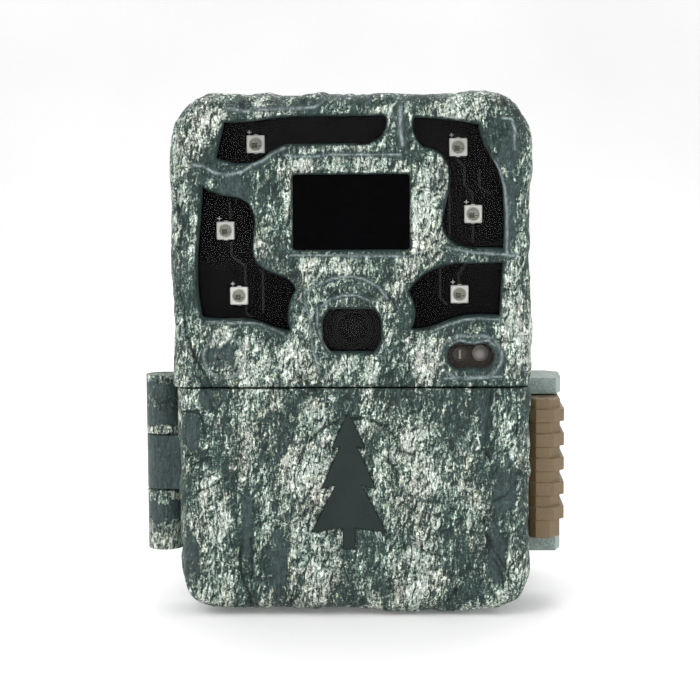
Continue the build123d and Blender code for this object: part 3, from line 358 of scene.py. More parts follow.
finish["smoke"] = clearFinish("statusSmoke", (60, 52, 46), 0.22, 0.06)
finish["dome"] = clearFinish("lampDome", (128, 134, 108), 0.28, 0.08, 0.6)
finish["cell"] = newMaterial("cellSleeve", batterySleeve, Metallic=0.6)
finish["display"] = newMaterial("displayGlass", displayGlass)
finish["glass"] = newMaterial("coatedGlass", coatedGlass, Specular_IOR_Level=0.06)
print("materials made:", len(finish))


def addObject(name, data):
    piece = bpy.data.objects.new(name, data)
    bpy.context.scene.collection.objects.link(piece)
    return piece


def dress(piece, key, slotName, body, *replaced):
    piece.data.materials.clear()
    piece.data.materials.append(finish[key])
    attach(piece, body)
    if replaced:
        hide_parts(*replaced)
    return piece


def smoothMesh(mesh, angle):
    mesh.shade_smooth()
    mesh.set_sharp_from_angle(angle=math.radians(angle))


def roundEdges(piece, width, segments, angle):
    bevel = piece.modifiers.new("edges", "BEVEL")
    bevel.width, bevel.segments = width / 1000, segments
    bevel.limit_method, bevel.angle_limit = "ANGLE", math.radians(angle)
    return bevel


def addMesh(name, points, faces, smoothAngle=40.0, attributes=None):
    # points are millimetres, faces are lists of corner numbers
    mesh = bpy.data.meshes.new(name)
    mesh.from_pydata((np.asarray(points) * 0.001).tolist(), [], [list(map(int, f)) for f in faces])
    mesh.validate()
    smoothMesh(mesh, smoothAngle)
    for label, values in (attributes or {}).items():
        layer = mesh.attributes.new(label, "FLOAT", "POINT")
        layer.data.foreach_set("value", np.asarray(values, np.float32))
    return addObject(name, mesh)


def boxOf(name):
    return [np.array(corner) * 1000 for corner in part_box(name)]


def joined(x, y, z):
    return np.stack(np.broadcast_arrays(x, y, z), -1)


def gridQuads(rows, columns):
    number = np.arange(rows * columns).reshape(rows, columns)
    return np.stack([number[:-1, :-1], number[:-1, 1:], number[1:, 1:], number[1:, :-1]], -1).reshape(-1, 4)


def edgesOf(faces):
    return np.concatenate([np.stack([faces[:, i], np.roll(faces, -1, 1)[:, i]], 1) for i in range(faces.shape[1])])


def weldedNode(name):
    # a CAD node's loose triangles with equal corners joined, in millimetres
    mesh = nodes[name].data
    points = np.zeros(len(mesh.vertices) * 3, np.float32)
    mesh.vertices.foreach_get("co", points)
    points = points.reshape(-1, 3).astype(float) * 1000
    mesh.calc_loop_triangles()
    corners = np.zeros(len(mesh.loop_triangles) * 3, np.int32)
    mesh.loop_triangles.foreach_get("vertices", corners)
    unique, back = np.unique(np.round(points, 3), axis=0, return_inverse=True)
    corners = back.reshape(-1)[corners.reshape(-1, 3)]
    return unique, corners[(corners != np.roll(corners, -1, 1)).all(1)]


def bevelledCopy(name, key, slotName, body, source, width, segments):
    # the CAD shape with its doubles merged, flat faces rejoined and its edges rounded
    points, corners = weldedNode(source)
    mesh = bpy.data.meshes.new(name)
    mesh.from_pydata((points * 0.001).tolist(), [], corners.tolist())
    work = bmesh.new()
    work.from_mesh(mesh)
    bmesh.ops.remove_doubles(work, verts=work.verts, dist=2e-6)
    bmesh.ops.dissolve_limit(work, angle_limit=math.radians(1.0), verts=work.verts, edges=work.edges)
    work.to_mesh(mesh)
    work.free()
    smoothMesh(mesh, 38)
    piece = addObject(name, mesh)
    roundEdges(piece, width, segments, 32).harden_normals = True
    dress(piece, key, slotName, body, source)


def scatter(ix, iy, seed):
    # a fixed number from 0 to 1 for each whole-number cell
    value = (ix.astype(np.int64) * 374761393 + iy.astype(np.int64) * 668265263 + seed * 982451653) & 0xFFFFFFFF
    value = ((value ^ (value >> 13)) * 1274126177) & 0xFFFFFFFF
    return ((value ^ (value >> 16)) & 0xFFFF) / 65535.0


def cellNoise(u, v, seed):
    # smooth blend of the four corners' numbers
    iu, iv = np.floor(u), np.floor(v)
    fu, fv = u - iu, v - iv
    fu, fv = fu * fu * (3 - 2 * fu), fv * fv * (3 - 2 * fv)
    low = scatter(iu, iv, seed) * (1 - fu) + scatter(iu + 1, iv, seed) * fu
    high = scatter(iu, iv + 1, seed) * (1 - fu) + scatter(iu + 1, iv + 1, seed) * fu
    return low * (1 - fv) + high * fv


def layeredNoise(u, v, seed, layers=3):
    # weighted mean of cell noises, each half as strong and half as large as the one before
    sizes = 2.0 ** np.arange(layers)
    total = sum(cellNoise(u * size, v * size, seed + step * 17) / size for step, size in enumerate(sizes))
    return total / (1 / sizes).sum()


def ease(value, low, high):
    t = np.clip((value - low) / (high - low), 0, 1)
    return t * t * (3 - 2 * t)


def bell(away, width):
    return np.exp(-(away / width) ** 2)


def segmentDistance(x, z, a, b):
    # least distance from each point to a set of segments, with the nearest segment's number
    best, which = np.full(len(x), 1e9), np.zeros(len(x), int)
    for number, (p, q) in enumerate(zip(a, b)):
        d = q - p
        t = np.clip(((x - p[0]) * d[0] + (z - p[1]) * d[1]) / max(d @ d, 1e-12), 0, 1)
        away = np.hypot(x - p[0] - t * d[0], z - p[1] - t * d[1])
        nearer = away < best
        best[nearer], which[nearer] = away[nearer], number
    return best, which


def lineDistance(u, v, line):
    line = np.asarray(line, float)
    return segmentDistance(u, v, line[:-1], line[1:])[0]


relief = {
    "plateHeight": 0.42, "fineHeight": 0.26, "crackDepth": 0.40, "lean": 0.20,
    # capsule ends, radius and depth of each shallow pocket; then width, height or depth, and points of each line
    "pockets": [((26.1, 64.1), (31.1, 64.1), 4.6, 0.35), ((-30.9, 64.0), (-30.8, 64.0), 4.5, 0.22)],
    "ridges": [
        (1.5, 0.55, [(-29.8, 123.9), (-24.7, 123.0), (-19.9, 123.5), (-12.6, 123.6), (-8.6, 123.8), (-6.6, 125.0)]),
        (1.8, 0.7, [(-37.9, 110.5), (-35.1, 110.0), (-32.6, 108.5), (-29.5, 108.0), (-25.9, 108.7), (-23.5, 110.3),
                    (-20.6, 111.5), (-18.7, 113.1), (-15.8, 114.3)]),
        (1.4, 0.4, [(-15.8, 112.6), (-10.5, 112.1), (-4.5, 112.7), (11.9, 112.5)]),
        (2.2, 0.8, [(11.9, 123.6), (11.9, 121.2), (11.9, 118.3), (12.4, 114.7)]),
        (1.5, 0.5, [(36.0, 121.1), (38.2, 120.8), (39.1, 117.9), (38.9, 113.6)]),
        (1.8, 0.45, [(33.6, 112.0), (35.5, 108.4), (36.7, 104.7), (37.2, 97.5), (37.2, 89.1)]),
        (1.5, 0.5, [(22.8, 90.5), (25.9, 89.7), (28.8, 89.2), (36.7, 88.6), (38.9, 88.4)]),
        (1.3, 0.5, [(-35.1, 72.7), (-28.5, 72.4), (-22.3, 72.3), (-19.9, 71.3), (-16.5, 69.8)]),
        (1.3, 0.6, [(-11.4, 80.1), (-7.8, 81.7), (-4.5, 83.1), (-0.6, 83.6), (2.8, 83.0), (6.4, 81.1), (8.6, 78.2)]),
        (1.1, 0.4, [(-7.3, 76.4), (-4.9, 78.1), (-2.0, 79.0), (1.3, 79.0), (4.2, 77.7)]),
        (1.2, 0.45, [(-11.4, 80.1), (-11.0, 77.0), (-10.2, 73.6), (-9.3, 65.6), (-7.8, 60.1)]),
        (1.1, 0.35, [(-8.3, 76.5), (-8.3, 71.6), (-6.9, 67.3), (-4.9, 64.9)]),
        (1.5, 0.5, [(15.5, 81.0), (18.7, 84.1), (22.8, 85.7), (28.8, 86.3)]),
        (1.3, 0.5, [(18.7, 70.1), (22.8, 71.7), (26.9, 73.0), (30.7, 73.3), (35.5, 73.0)]),
        (1.1, 0.4, [(24.0, 67.1), (25.9, 68.1), (29.3, 67.3), (32.9, 68.1), (34.3, 66.8)]),
        (1.1, 0.35, [(22.3, 58.8), (28.3, 58.7), (36.0, 59.3)]),
        (1.2, 0.4, [(-14.6, 88.8), (-0.1, 88.5), (13.9, 88.4)]),
    ],
    "grooves": [
        (0.5, 0.5, [(20.4, 104.5), (23.2, 103.7)]),
        (0.6, 0.5, [(-42.3, 81.0), (-40.6, 76.1), (-40.4, 70.9), (-38.7, 66.0), (-36.7, 61.9), (-34.3, 57.3)]),
        (0.6, 0.5, [(-34.1, 56.6), (-37.2, 59.3), (-35.5, 56.1), (-33.6, 50.6)]),
        (0.6, 0.5, [(-43.5, 105.8), (-41.6, 105.0)]),
        (0.6, 0.5, [(-42.3, 104.5), (-41.8, 100.5), (-40.4, 96.6), (-41.6, 90.6)]),
        (0.5, 0.5, [(-41.6, 50.9), (-37.5, 50.9), (-36.5, 49.1), (-35.8, 44.6)]),
        (0.5, 0.5, [(-41.1, 40.0), (-37.9, 40.2), (-35.5, 41.4)]),
        (0.5, 0.5, [(-39.9, 37.2), (-35.1, 39.7)]),
        (0.5, 0.5, [(-37.9, 33.7), (-36.3, 34.7), (-33.6, 35.7)]),
        (0.5, 0.5, [(-37.9, 31.2), (-35.5, 31.9), (-32.6, 33.6)]),
        (0.7, 0.6, [(-26.9, 19.1), (-27.8, 15.2), (-27.3, 10.2), (-25.4, 5.2), (-24.9, 0.7)]),
        (0.6, 0.5, [(-24.9, 19.1), (-24.8, 14.4), (-24.7, 10.1)]),
        (0.6, 0.4, [(-32.9, 22.2), (-33.4, 18.7), (-33.4, 15.2)]),
        (0.7, 0.55, [(-12.9, 37.9), (-11.4, 42.3), (-8.1, 46.3), (-2.3, 49.2), (3.5, 49.1), (8.3, 47.1), (10.2, 44.5)]),
        (0.6, 0.5, [(33.6, 56.2), (32.9, 51.7), (32.4, 44.2), (32.2, 40.3), (33.8, 39.2)]),
        (0.5, 0.4, [(40.1, 49.6), (39.6, 44.2)]),
        (0.5, 0.4, [(33.8, 34.8), (35.3, 37.2)]),
        (0.5, 0.4, [(34.3, 28.8), (37.2, 30.2), (39.6, 33.7)]),
        (0.6, 0.5, [(31.9, 24.8), (31.9, 21.3), (34.3, 16.3), (37.2, 11.8), (38.2, 8.8)]),
        (0.5, 0.4, [(32.4, 17.9), (35.3, 12.8), (36.7, 8.8)]),
        (0.6, 0.5, [(22.3, 3.0), (25.2, 7.0)]),
        (0.5, 0.45, [(16.5, 17.1), (17.9, 16.1), (21.1, 15.3)]),
    ],
    # centre x, z and half sizes of smooth dark areas, then of dense light areas
    "smooth": [(11.9, 119.2, 2.2, 6.3), (-28.1, 104.8, 3.9, 3.9), (37.9, 113.1, 2.6, 6.7), (37.7, 98.7, 2.2, 8.4),
               (-35.5, 55.3, 2.2, 3.9),
               (-38.7, 45.7, 2.4, 5.3), (-25.9, 23.6, 1.4, 8.2), (-18.2, 15, 2.4, 10.8), (32.2, 48, 1.4, 7.2),
               (36.5, 31.7, 3.1, 8.4),
               (34.8, 14.3, 2.4, 8.4), (-31, 64, 4.1, 3.9), (30, 63.9, 7.2, 4.1), (-39.9, 14.1, 2.4, 7.2)],
    "dense": [(-0.1, 108.8, 16.9, 3.9), (-12.2, 98.2, 4.3, 10.8), (16.7, 97.8, 4.8, 10.8), (-0.1, 86.7, 16.9, 2.4),
               (-23.7, 64.1, 3.9, 6.7),
              (-15.5, 64, 3.4, 5.3), (18.4, 62.9, 3.6, 6), (1.1, 60.7, 6, 3.6), (38.9, 71.8, 2.9, 14),
              (-34.6, 25.2, 4.3, 10.8),
              (-19.4, 27.5, 4.8, 8.4), (-8.6, 13.7, 7.2, 6), (-6.9, 34.1, 5.3, 5.3), (11.4, 33.3, 5.3, 14.5),
              (27.6, 28.1, 3.6, 7.2),
              (12.9, 9.6, 6.3, 8.4), (-39.9, 94.9, 2.9, 9.6), (-24.2, 121.2, 14.5, 2.9), (19.2, 122.5, 14.5, 2.4),
              (-38.7, 116.5, 3.9, 7.2)],
}


def barkRelief(u, v, strokes):
    # height = plates of leaning noise + fine grain on them - cracks along the noise's middle value,
    # then drawn ridges are added and drawn grooves cut, and smooth areas keep only the drawn part
    drawn = relief if strokes else dict.fromkeys(relief, ())
    leaned = u - relief["lean"] * v
    bend = layeredNoise(u / 11, v / 16, 3) * 2.2
    bare, dense, crest = np.zeros((3, len(u)))
    for x, z, halfWide, halfHigh in drawn["smooth"]:
        reach = np.hypot((u - x) / halfWide, (v - z) / halfHigh) + 0.9 * (layeredNoise(u / 1.3, v / 2.6, 63, 2) - 0.5)
        bare = np.maximum(bare, 0.8 - 0.8 * ease(reach, 0.6, 1.15))
    for x, z, halfWide, halfHigh in drawn["dense"]:
        dense = np.maximum(dense, 1 - ease(np.hypot((u - x) / halfWide, (v - z) / halfHigh), 0.6, 1.35))
    plate = ease(layeredNoise(leaned / 5.2 + bend, v / 15 + bend * 0.3, 5) + 0.10 * dense, 0.44, 0.60)
    # sunk cracks along the noise's middle value; their mask also carries the painted shade
    crackNoise = layeredNoise(leaned / 7 + bend * 0.8, v / 24, 41, 2)
    crack = 0.5 * bell(crackNoise - 0.5, 0.010) * ease(cellNoise(u / 9, v / 14, 91), 0.45, 0.7) * (1 - bare)
    fine = layeredNoise(leaned / 1.5, v / 3.4, 77, 3)
    height = relief["plateHeight"] * (plate - 0.5) + relief["fineHeight"] * (fine - 0.5) * (0.5 + plate)
    height = (height - relief["crackDepth"] * crack) * (1 - 0.85 * bare)
    # the upper left side stands out a little, the door's left side stands in, and the lower edge is uneven
    edgeWave = layeredNoise(u / 6.5, v / 6.5, 19, 2) - 0.5
    height = height + ease(np.maximum(np.abs(u) - 39, v - 123), 0, 3) * 1.5 * edgeWave
    height = height + ease(-u, 40, 43.5) * np.where(v > 56.6, 0.45, -0.75)
    height = height - ease(-v, -5, 0) * (0.75 - 0.65 * ease(u, 4, 9) * (1 - ease(u, 25, 32)))
    # each pocket is sunk, with a crest mask on its rim for the painted highlight
    for a, b, size, depth in drawn["pockets"]:
        away = lineDistance(u, v, [a, b])
        height = height - depth * (1 - ease(away, size - 0.5, size + 0.3)) + 0.25 * bell(away - size - 0.4, 0.55)
        crest = np.maximum(crest, 0.7 * bell(away - size - 0.4, 0.35))
    # each ridge is raised, with a narrow crest mask for the painted highlight and bare slate beside it
    for width, rise, line in drawn["ridges"]:
        away = lineDistance(u, v, line)
        height = height + rise * bell(away, 0.72 * width)
        crest = np.maximum(crest, bell(away, 0.15 * width))
        bare = np.maximum(bare, 0.7 * bell(away, 0.48 * width))
    # each groove is cut in, and its crack mask carries the painted shade
    for width, depth, line in drawn["grooves"]:
        away = lineDistance(u, v, line)
        height = height - depth * bell(away, 0.8 * width)
        crack = np.maximum(crack, 0.75 * bell(away, 0.42 * width))
    return height, {"plate": plate, "crack": crack, "crest": crest, "bare": bare, "cover": 0.19 * dense - 0.01}


def spacedLine(stops, spacing):
    # values through all the stops, evenly spaced between neighbours
    stops = np.asarray(stops, float)
    parts = [np.linspace(a, b, max(2, math.ceil(abs(b - a) / spacing) + 1))[:-1] for a, b in zip(stops[:-1], stops[1:])]
    return np.concatenate(parts + [stops[-1:]])


def shellOutline(shape):
    # rounded rectangle inset by the edge rounding, walked counter-clockwise as seen from the front (x right, z up)
    # over the sides and corners that shape["walk"] names, as points with outward directions
    halfWide, low, high, radius, inset = (shape[key] for key in ("halfWide", "low", "high", "radius", "round"))
    turnSteps = max(8, math.ceil(radius * math.pi / 2 / shape["spacing"]))
    right, bottom, top, side = halfWide - radius, low + radius, high - radius, halfWide - inset
    begin = shape["seam"] if shape["part"] == "upper" else bottom
    end = shape["seam"] if shape["part"] == "lower" else top
    turns = {"corner0": (right, bottom, -90), "corner1": (right, top, 0), "corner2": (-right, top, 90),
             "corner3": (-right, bottom, 180)}
    straights = {"rightUp": ((side, begin), (side, end), (1.0, 0.0)),
                 "leftDown": ((-side, end), (-side, begin), (-1.0, 0.0)),
                 "top": ((right, high - inset), (-right, high - inset), (0.0, 1.0)),
                 "bottom": ((-right, low + inset), (right, low + inset), (0.0, -1.0))}
    points, ways = [], []
    for count, move in enumerate(shape["walk"]):
        if move in straights:
            a, b, way = straights[move]
            length = math.dist(a, b)
            stops = [stop - begin for stop in shape.get("rightStops", ()) if move == "rightUp"]
            marks = spacedLine([0.0, *stops, length], shape["spacing"])
            points.extend(np.array(a) + np.outer(marks / length, np.array(b) - np.array(a)))
            ways.extend([way] * len(marks))
        else:
            x, z, start = turns[move]
            last = count == len(shape["walk"]) - 1
            angles = np.radians(start + np.linspace(0, 90, turnSteps + 1)[int(count > 0):None if last else -1])
            directions = np.stack([np.cos(angles), np.sin(angles)], 1)
            points.extend(np.array((x, z)) + (radius - inset) * directions)
            ways.extend(directions)
    return np.array(points), np.array(ways, float)


def boundarySegments(points, corners, planeY):
    # edges used by one triangle among those lying in the plane
    flat = np.abs(points[corners][:, :, 1] - planeY).max(1) < 0.01
    unique, count = np.unique(np.sort(edgesOf(corners[flat]), 1), axis=0, return_counts=True)
    return unique[count == 1]


def loopLabels(segments):
    # the same number for segments that touch, end to end
    label = np.arange(len(segments))
    corner = np.full(segments.max() + 1, len(segments))
    while True:
        before = label.copy()
        for column in (0, 1):
            np.minimum.at(corner, segments[:, column], label)
        label = np.minimum(corner[segments[:, 0]], corner[segments[:, 1]])
        if (label == before).all():
            return label


def insideParity(x, z, a, b):
    # a ray to +x crosses the segments an odd number of times when the point is inside
    crossings = np.zeros(len(x), int)
    for p, q in zip(a, b):
        hit = (p[1] > z) != (q[1] > z)
        if abs(q[1] - p[1]) > 1e-12:
            crossings += hit & (x < (q[0] - p[0]) * (z - p[1]) / (q[1] - p[1]) + p[0])
    return crossings % 2 == 1


def boxGap(spots, box):
    # how far each point lies outside a box, negative inside it
    return np.maximum.reduce([side for axis in range(3)
                              for side in (box[2 * axis] - spots[:, axis], spots[:, axis] - box[2 * axis + 1])])


def roundDrop(away, curve):
    # how far a rounded edge of that radius has fallen, this far from its end
    inside = np.clip(away / curve, 0, 1)
    return curve - np.sqrt(np.maximum(curve ** 2 - (curve * (1 - inside)) ** 2, 0))


def shellSkin(name, source, body, shape):
    # outer skin = flat face filled with a hexagonal grid, then the outline swept round the edge and down the side,
    # moved along the normals by the bark relief; the CAD's inner faces are kept behind it
    points, corners = weldedNode(source)
    planeY, facing, spacing, seam, endY = (shape[key] for key in ("planeY", "facing", "spacing", "seam", "endY"))
    halfWide, low, high, radius, inset = (shape[key] for key in ("halfWide", "low", "high", "radius", "round"))
    outline, ways = shellOutline(shape)

    def fromCore(spots):
        # offset and distance from the rectangle through the corner circles' centres
        x, z = spots[:, 0], spots[:, 2]
        x, z = x - np.clip(x, radius - halfWide, halfWide - radius), z - np.clip(z, low + radius, high - radius)
        return x, z, np.hypot(x, z)

    # holes in the flat face: its free edges other than the rim and the seam
    segments = boundarySegments(points, corners, planeY)
    coreX, coreZ, coreAway = fromCore(points)
    onRim = np.abs(coreAway - (radius - inset)) < 0.03
    onSeam = np.abs(points[:, 2] - seam) < 0.02
    midGap = np.abs(fromCore(points[segments].mean(1))[2] - (radius - inset))
    holes = segments[~((onRim[segments].all(1) & (midGap < 0.2)) | onSeam[segments].all(1))]
    labels = loopLabels(holes)
    holeA, holeB, holeRound = [], [], []
    for label in np.unique(labels):
        pair = holes[labels == label]
        small = np.ptp(points[np.unique(pair)][:, [0, 2]], axis=0).max() < 2.5
        for a, b in points[pair]:
            pieces = max(1, math.ceil(np.linalg.norm(a - b) / spacing))
            marks = np.linspace(0, 1, pieces + 1)[:, None]
            line = a[[0, 2]] * (1 - marks) + b[[0, 2]] * marks
            holeA.extend(line[:-1])
            holeB.extend(line[1:])
            holeRound.extend([0.2 if small else shape["holeRound"]] * pieces)
    holeA, holeB, holeRound = np.array(holeA), np.array(holeB), np.array(holeRound)
    gap = spacedLine([outline[-1][0], outline[0][0]], spacing)[1:-1]
    rim = np.concatenate([outline, np.stack([gap, np.full(len(gap), outline[0][1])], 1)])
    allA, allB = np.concatenate([rim, holeA]), np.concatenate([np.roll(rim, -1, axis=0), holeB])
    # hexagonal grid inside, moved off round numbers so that no ray meets a corner
    gx, gz = np.meshgrid(np.arange(-halfWide, halfWide, spacing), np.arange(low, high, spacing * 0.866))
    gx = gx + (np.arange(len(gx)) % 2)[:, None] * spacing / 2
    gx, gz = gx.ravel() + 0.0137, gz.ravel() + 0.0071
    keep = (gz > allA[:, 1].min()) & (gz < allA[:, 1].max())
    gx, gz = gx[keep], gz[keep]
    keep = (segmentDistance(gx, gz, allA, allB)[0] > spacing * 0.42) & insideParity(gx, gz, allA, allB)
    border, back = np.unique(np.round(np.concatenate([allA, allB]), 4), axis=0, return_inverse=True)
    flatPoints = np.concatenate([border, np.stack([gx[keep], gz[keep]], 1)])
    cdt = delaunay_2d_cdt([Vector(p) for p in flatPoints.tolist()], back.reshape(2, -1).T.tolist(), [], 0, 1e-5)
    flat2d, flatFaces = np.array([tuple(p) for p in cdt[0]]), np.array(cdt[2])
    flatFaces = flatFaces[insideParity(*flat2d[flatFaces].mean(1).T, allA, allB)]
    a, b, c = (flat2d[flatFaces[:, i]] for i in range(3))
    area = (b[:, 0] - a[:, 0]) * (c[:, 1] - a[:, 1]) - (b[:, 1] - a[:, 1]) * (c[:, 0] - a[:, 0])
    # seen from -y with x right and z up, counter-clockwise looks outwards
    wrong = area * facing > 0
    flatFaces[wrong] = flatFaces[wrong][:, ::-1]
    print(" ", name, "flat points", len(flat2d), "faces", len(flatFaces), "holes", len(np.unique(labels)))
    # sweep round the edge and down the side
    angles = np.linspace(0, math.pi / 2, max(6, math.ceil(inset * math.pi / 2 / spacing)) + 1)
    edgeY = planeY - facing * inset
    straight = spacedLine([edgeY, *shape.get("depthStops", ()), endY], spacing)[1:]
    tilt = np.concatenate([angles, np.full(len(straight), math.pi / 2)])[:, None]
    outward = np.concatenate([inset * np.sin(angles), np.full(len(straight), inset)])
    depth = np.concatenate([planeY - facing * inset * (1 - np.cos(angles)), straight])[:, None]
    along = np.concatenate([inset * angles, inset * math.pi / 2 + np.abs(straight - edgeY)])
    spread = outline + outward[:, None, None] * ways
    sweepPoint = joined(spread[..., 0], depth, spread[..., 1]).reshape(-1, 3)
    sweepNormal = joined(np.sin(tilt) * ways[:, 0], facing * np.cos(tilt), np.sin(tilt) * ways[:, 1]).reshape(-1, 3)
    sweepUv = (outline + along[:, None, None] * ways).reshape(-1, 2)
    quads = gridQuads(len(depth), len(outline))[:, ::facing]
    for hole in shape.get("sideHoles", ()):
        quads = quads[boxGap(sweepPoint[quads].mean(1), hole) >= 0]
    # join flat and swept parts on their shared rim
    base = np.concatenate([joined(flat2d[:, 0], planeY, flat2d[:, 1]), sweepPoint])
    normal = np.concatenate([np.tile([0.0, facing, 0.0], (len(flat2d), 1)), sweepNormal])
    uv = np.concatenate([flat2d, sweepUv])
    _, first, back = np.unique(np.round(base, 3), axis=0, return_index=True, return_inverse=True)
    base, normal, uv, back = base[first], normal[first], uv[first], back.reshape(-1)
    faces3, faces4 = back[flatFaces], back[quads + len(flat2d)]
    # relief, faded at holes and at the parting plane
    lift, paint = barkRelief(uv[:, 0], uv[:, 1], shape["strokes"])
    lift = np.clip(lift * shape["reliefScale"], -shape["reliefLow"], shape["reliefHigh"])
    isFlat = np.abs(base[:, 1] - planeY) < 1e-3
    away, nearest = segmentDistance(base[:, 0], base[:, 2], holeA, holeB)
    curve, seamGap = holeRound[nearest], np.abs(base[:, 2] - seam)
    fade = np.where(isFlat, ease(away, 0.0, 1.8 * curve + 0.3), 1.0) * ease(np.abs(base[:, 1] - endY), 0.0, 3.0)
    for *box, reach in shape.get("calm", ()):
        fade = fade * ease(boxGap(base, box), 0.0, reach)
    drop = np.where(isFlat, roundDrop(away, curve), 0) + roundDrop(seamGap, shape["seamRound"])
    final = base + normal * (lift * fade - drop)[:, None]
    final[:, 2] = np.maximum(final[:, 2], shape["floor"])
    nearHole = np.where(isFlat & (curve > 0.5), 0.85 - 0.85 * ease(away, 0.15 * curve, 0.5 * curve), 0)
    paint["bare"] = np.maximum(paint["bare"], nearHole)
    # walls of the holes and a lip at the seam, from the edges that only one face uses
    half = np.concatenate([edgesOf(faces3), edgesOf(faces4)])
    half = half[half[:, 0] != half[:, 1]]
    free = half[~np.isin(half @ [len(base), 1], half @ [1, len(base)])]
    blocks, faces, total = [final], faces3.tolist() + faces4.tolist(), len(base)
    walls = joined(base[:, 0], shape["holeDepth"], base[:, 2])
    for chosen, target in (((away < 2e-3) & isFlat, walls), (seamGap < 2e-3, base - normal * shape["tuck"])):
        edges = free[chosen[free].all(1)]
        used, back = np.unique(edges, return_inverse=True)
        faces += np.concatenate([edges[:, ::-1], total + back.reshape(-1, 2)], 1).tolist()
        blocks.append(target[used])
        total += len(used)
    # CAD faces behind the skin: those on its flat face, edge, side and hole walls go, and what stays is tucked in
    coreGap, depthIn = coreAway - radius, (points[:, 1] - planeY) * -facing
    past, beyond = np.clip(coreGap + inset, 0, None), np.clip(inset - depthIn, 0, inset)
    onFlat = np.abs(depthIn) < 0.01
    onEdge = (np.abs(np.hypot(past, beyond) - inset) < 0.05) & (depthIn < inset) & (coreGap > -inset - 0.01)
    onSide = (np.abs(coreGap) < 0.012) & (depthIn >= inset - 0.01) & (depthIn <= abs(endY - planeY) + 0.01)
    outer = onFlat | onEdge | onSide
    triangle = points[corners]
    across = np.cross(triangle[:, 1] - triangle[:, 0], triangle[:, 2] - triangle[:, 0])
    across = across / np.maximum(np.linalg.norm(across, axis=1), 1e-12)[:, None]
    outX, outZ, outLength = fromCore(triangle.mean(1))
    looksSide = (across[:, 0] * outX + across[:, 2] * outZ) / np.maximum(outLength, 1e-9) > 0.25
    allOuter = outer[corners].all(1)
    notSeam = np.abs(triangle[:, :, 2] - seam).max(1) >= 0.02
    dropped = allOuter & ((across[:, 1] * facing > 0.25) | looksSide) & notSeam
    dropped |= onFlat[corners].any(1) & (np.abs(across[:, 1]) < 0.3) & notSeam & ~allOuter \
        & (np.abs(depthIn[corners]).max(1) < abs(shape["holeDepth"] - planeY) + 0.02)
    tucked = outer & (np.abs(points[:, 1] - endY) >= 0.05)
    for *box, _ in shape.get("calm", ()):
        tucked &= boxGap(points, box) >= 0.1
    tilt = np.clip(np.arctan2(past, np.maximum(beyond, 1e-9)), 0, math.pi / 2)
    sideways = np.sin(tilt) / np.maximum(coreAway, 1e-9)
    inward = joined(sideways * coreX, facing * np.cos(tilt), sideways * coreZ) * shape["tuck"]
    used, back = np.unique(corners[~dropped], return_inverse=True)
    blocks.append(np.where(tucked[:, None], points - inward, points)[used])
    faces = [f for f in faces + (back.reshape(-1, 3) + total).tolist() if len(set(f)) == len(f)]
    # everything behind the skin is bare
    allPoints = np.concatenate(blocks)
    tail = np.ones(len(allPoints) - len(base))
    attributes = {label: np.concatenate([values, tail * (label == "bare")]) for label, values in paint.items()}
    piece = addMesh(name, allPoints, faces, 50.0, attributes)
    print(" ", name, "faces", len(piece.data.polygons))
    dress(piece, "bark", "camo_shell", body, source)


(bezelLow, bezelHigh), (doorLow, doorHigh) = boxOf("front_bezel"), boxOf("door_shell")
rearHigh = boxOf("rear_housing")[1]
noSeam = -1000.0
# what the front shells share: edge and corner rounding, grid, and how far the relief goes in and out
front = {
    "facing": -1, "low": 0.0, "high": bezelHigh[2], "radius": 11.0, "round": 4.0, "spacing": 0.40, "seamRound": 0.35,
    "tuck": 1.5, "reliefScale": 1.0, "reliefLow": 1.0, "reliefHigh": 0.8, "strokes": True, "floor": 0.0,
}
bezelShape = {
    **front, "planeY": bezelLow[1], "halfWide": bezelHigh[0], "endY": -22.0, "seam": bezelLow[2], "part": "upper",
    "walk": ["rightUp", "corner1", "top", "corner2", "leftDown"], "holeDepth": -34.8, "holeRound": 1.2,
}
hookGroove = (41.0, 43.6, -27.4, -25.0, 23.4, 46.6)
doorShape = {
    **front, "planeY": doorLow[1], "halfWide": doorHigh[0], "low": doorLow[2], "endY": -22.2, "seam": doorHigh[2],
    "part": "lower", "walk": ["leftDown", "corner3", "bottom", "corner0", "rightUp"], "holeDepth": -37.2,
    "holeRound": 0.3, "floor": 0.1, "rightStops": hookGroove[4:], "depthStops": hookGroove[2:4],
    "sideHoles": [hookGroove], "calm": [(*hookGroove, 2.0)],
}
rearShape = {
    **front, "planeY": 26.0, "facing": 1, "halfWide": rearHigh[0], "high": rearHigh[2], "round": 2.4, "endY": -22.0,
    "seam": noSeam, "part": "whole", "walk": ["corner0", "rightUp", "corner1", "top", "corner2", "leftDown", "corner3"],
    "spacing": 0.72, "holeDepth": 24.0, "holeRound": 0.5, "reliefScale": 0.8, "reliefLow": 0.6, "reliefHigh": 0.3,
    "strokes": False, "calm": [(-31.6, 31.6, -22.0, 26.0, -1.0, 2.4, 3.0)],
}
shellSkin("bezelShell", "front_bezel", "housing", bezelShape)
shellSkin("doorShellSkin", "door_shell", "door", doorShape)
shellSkin("rearShell", "rear_housing", "housing", rearShape)

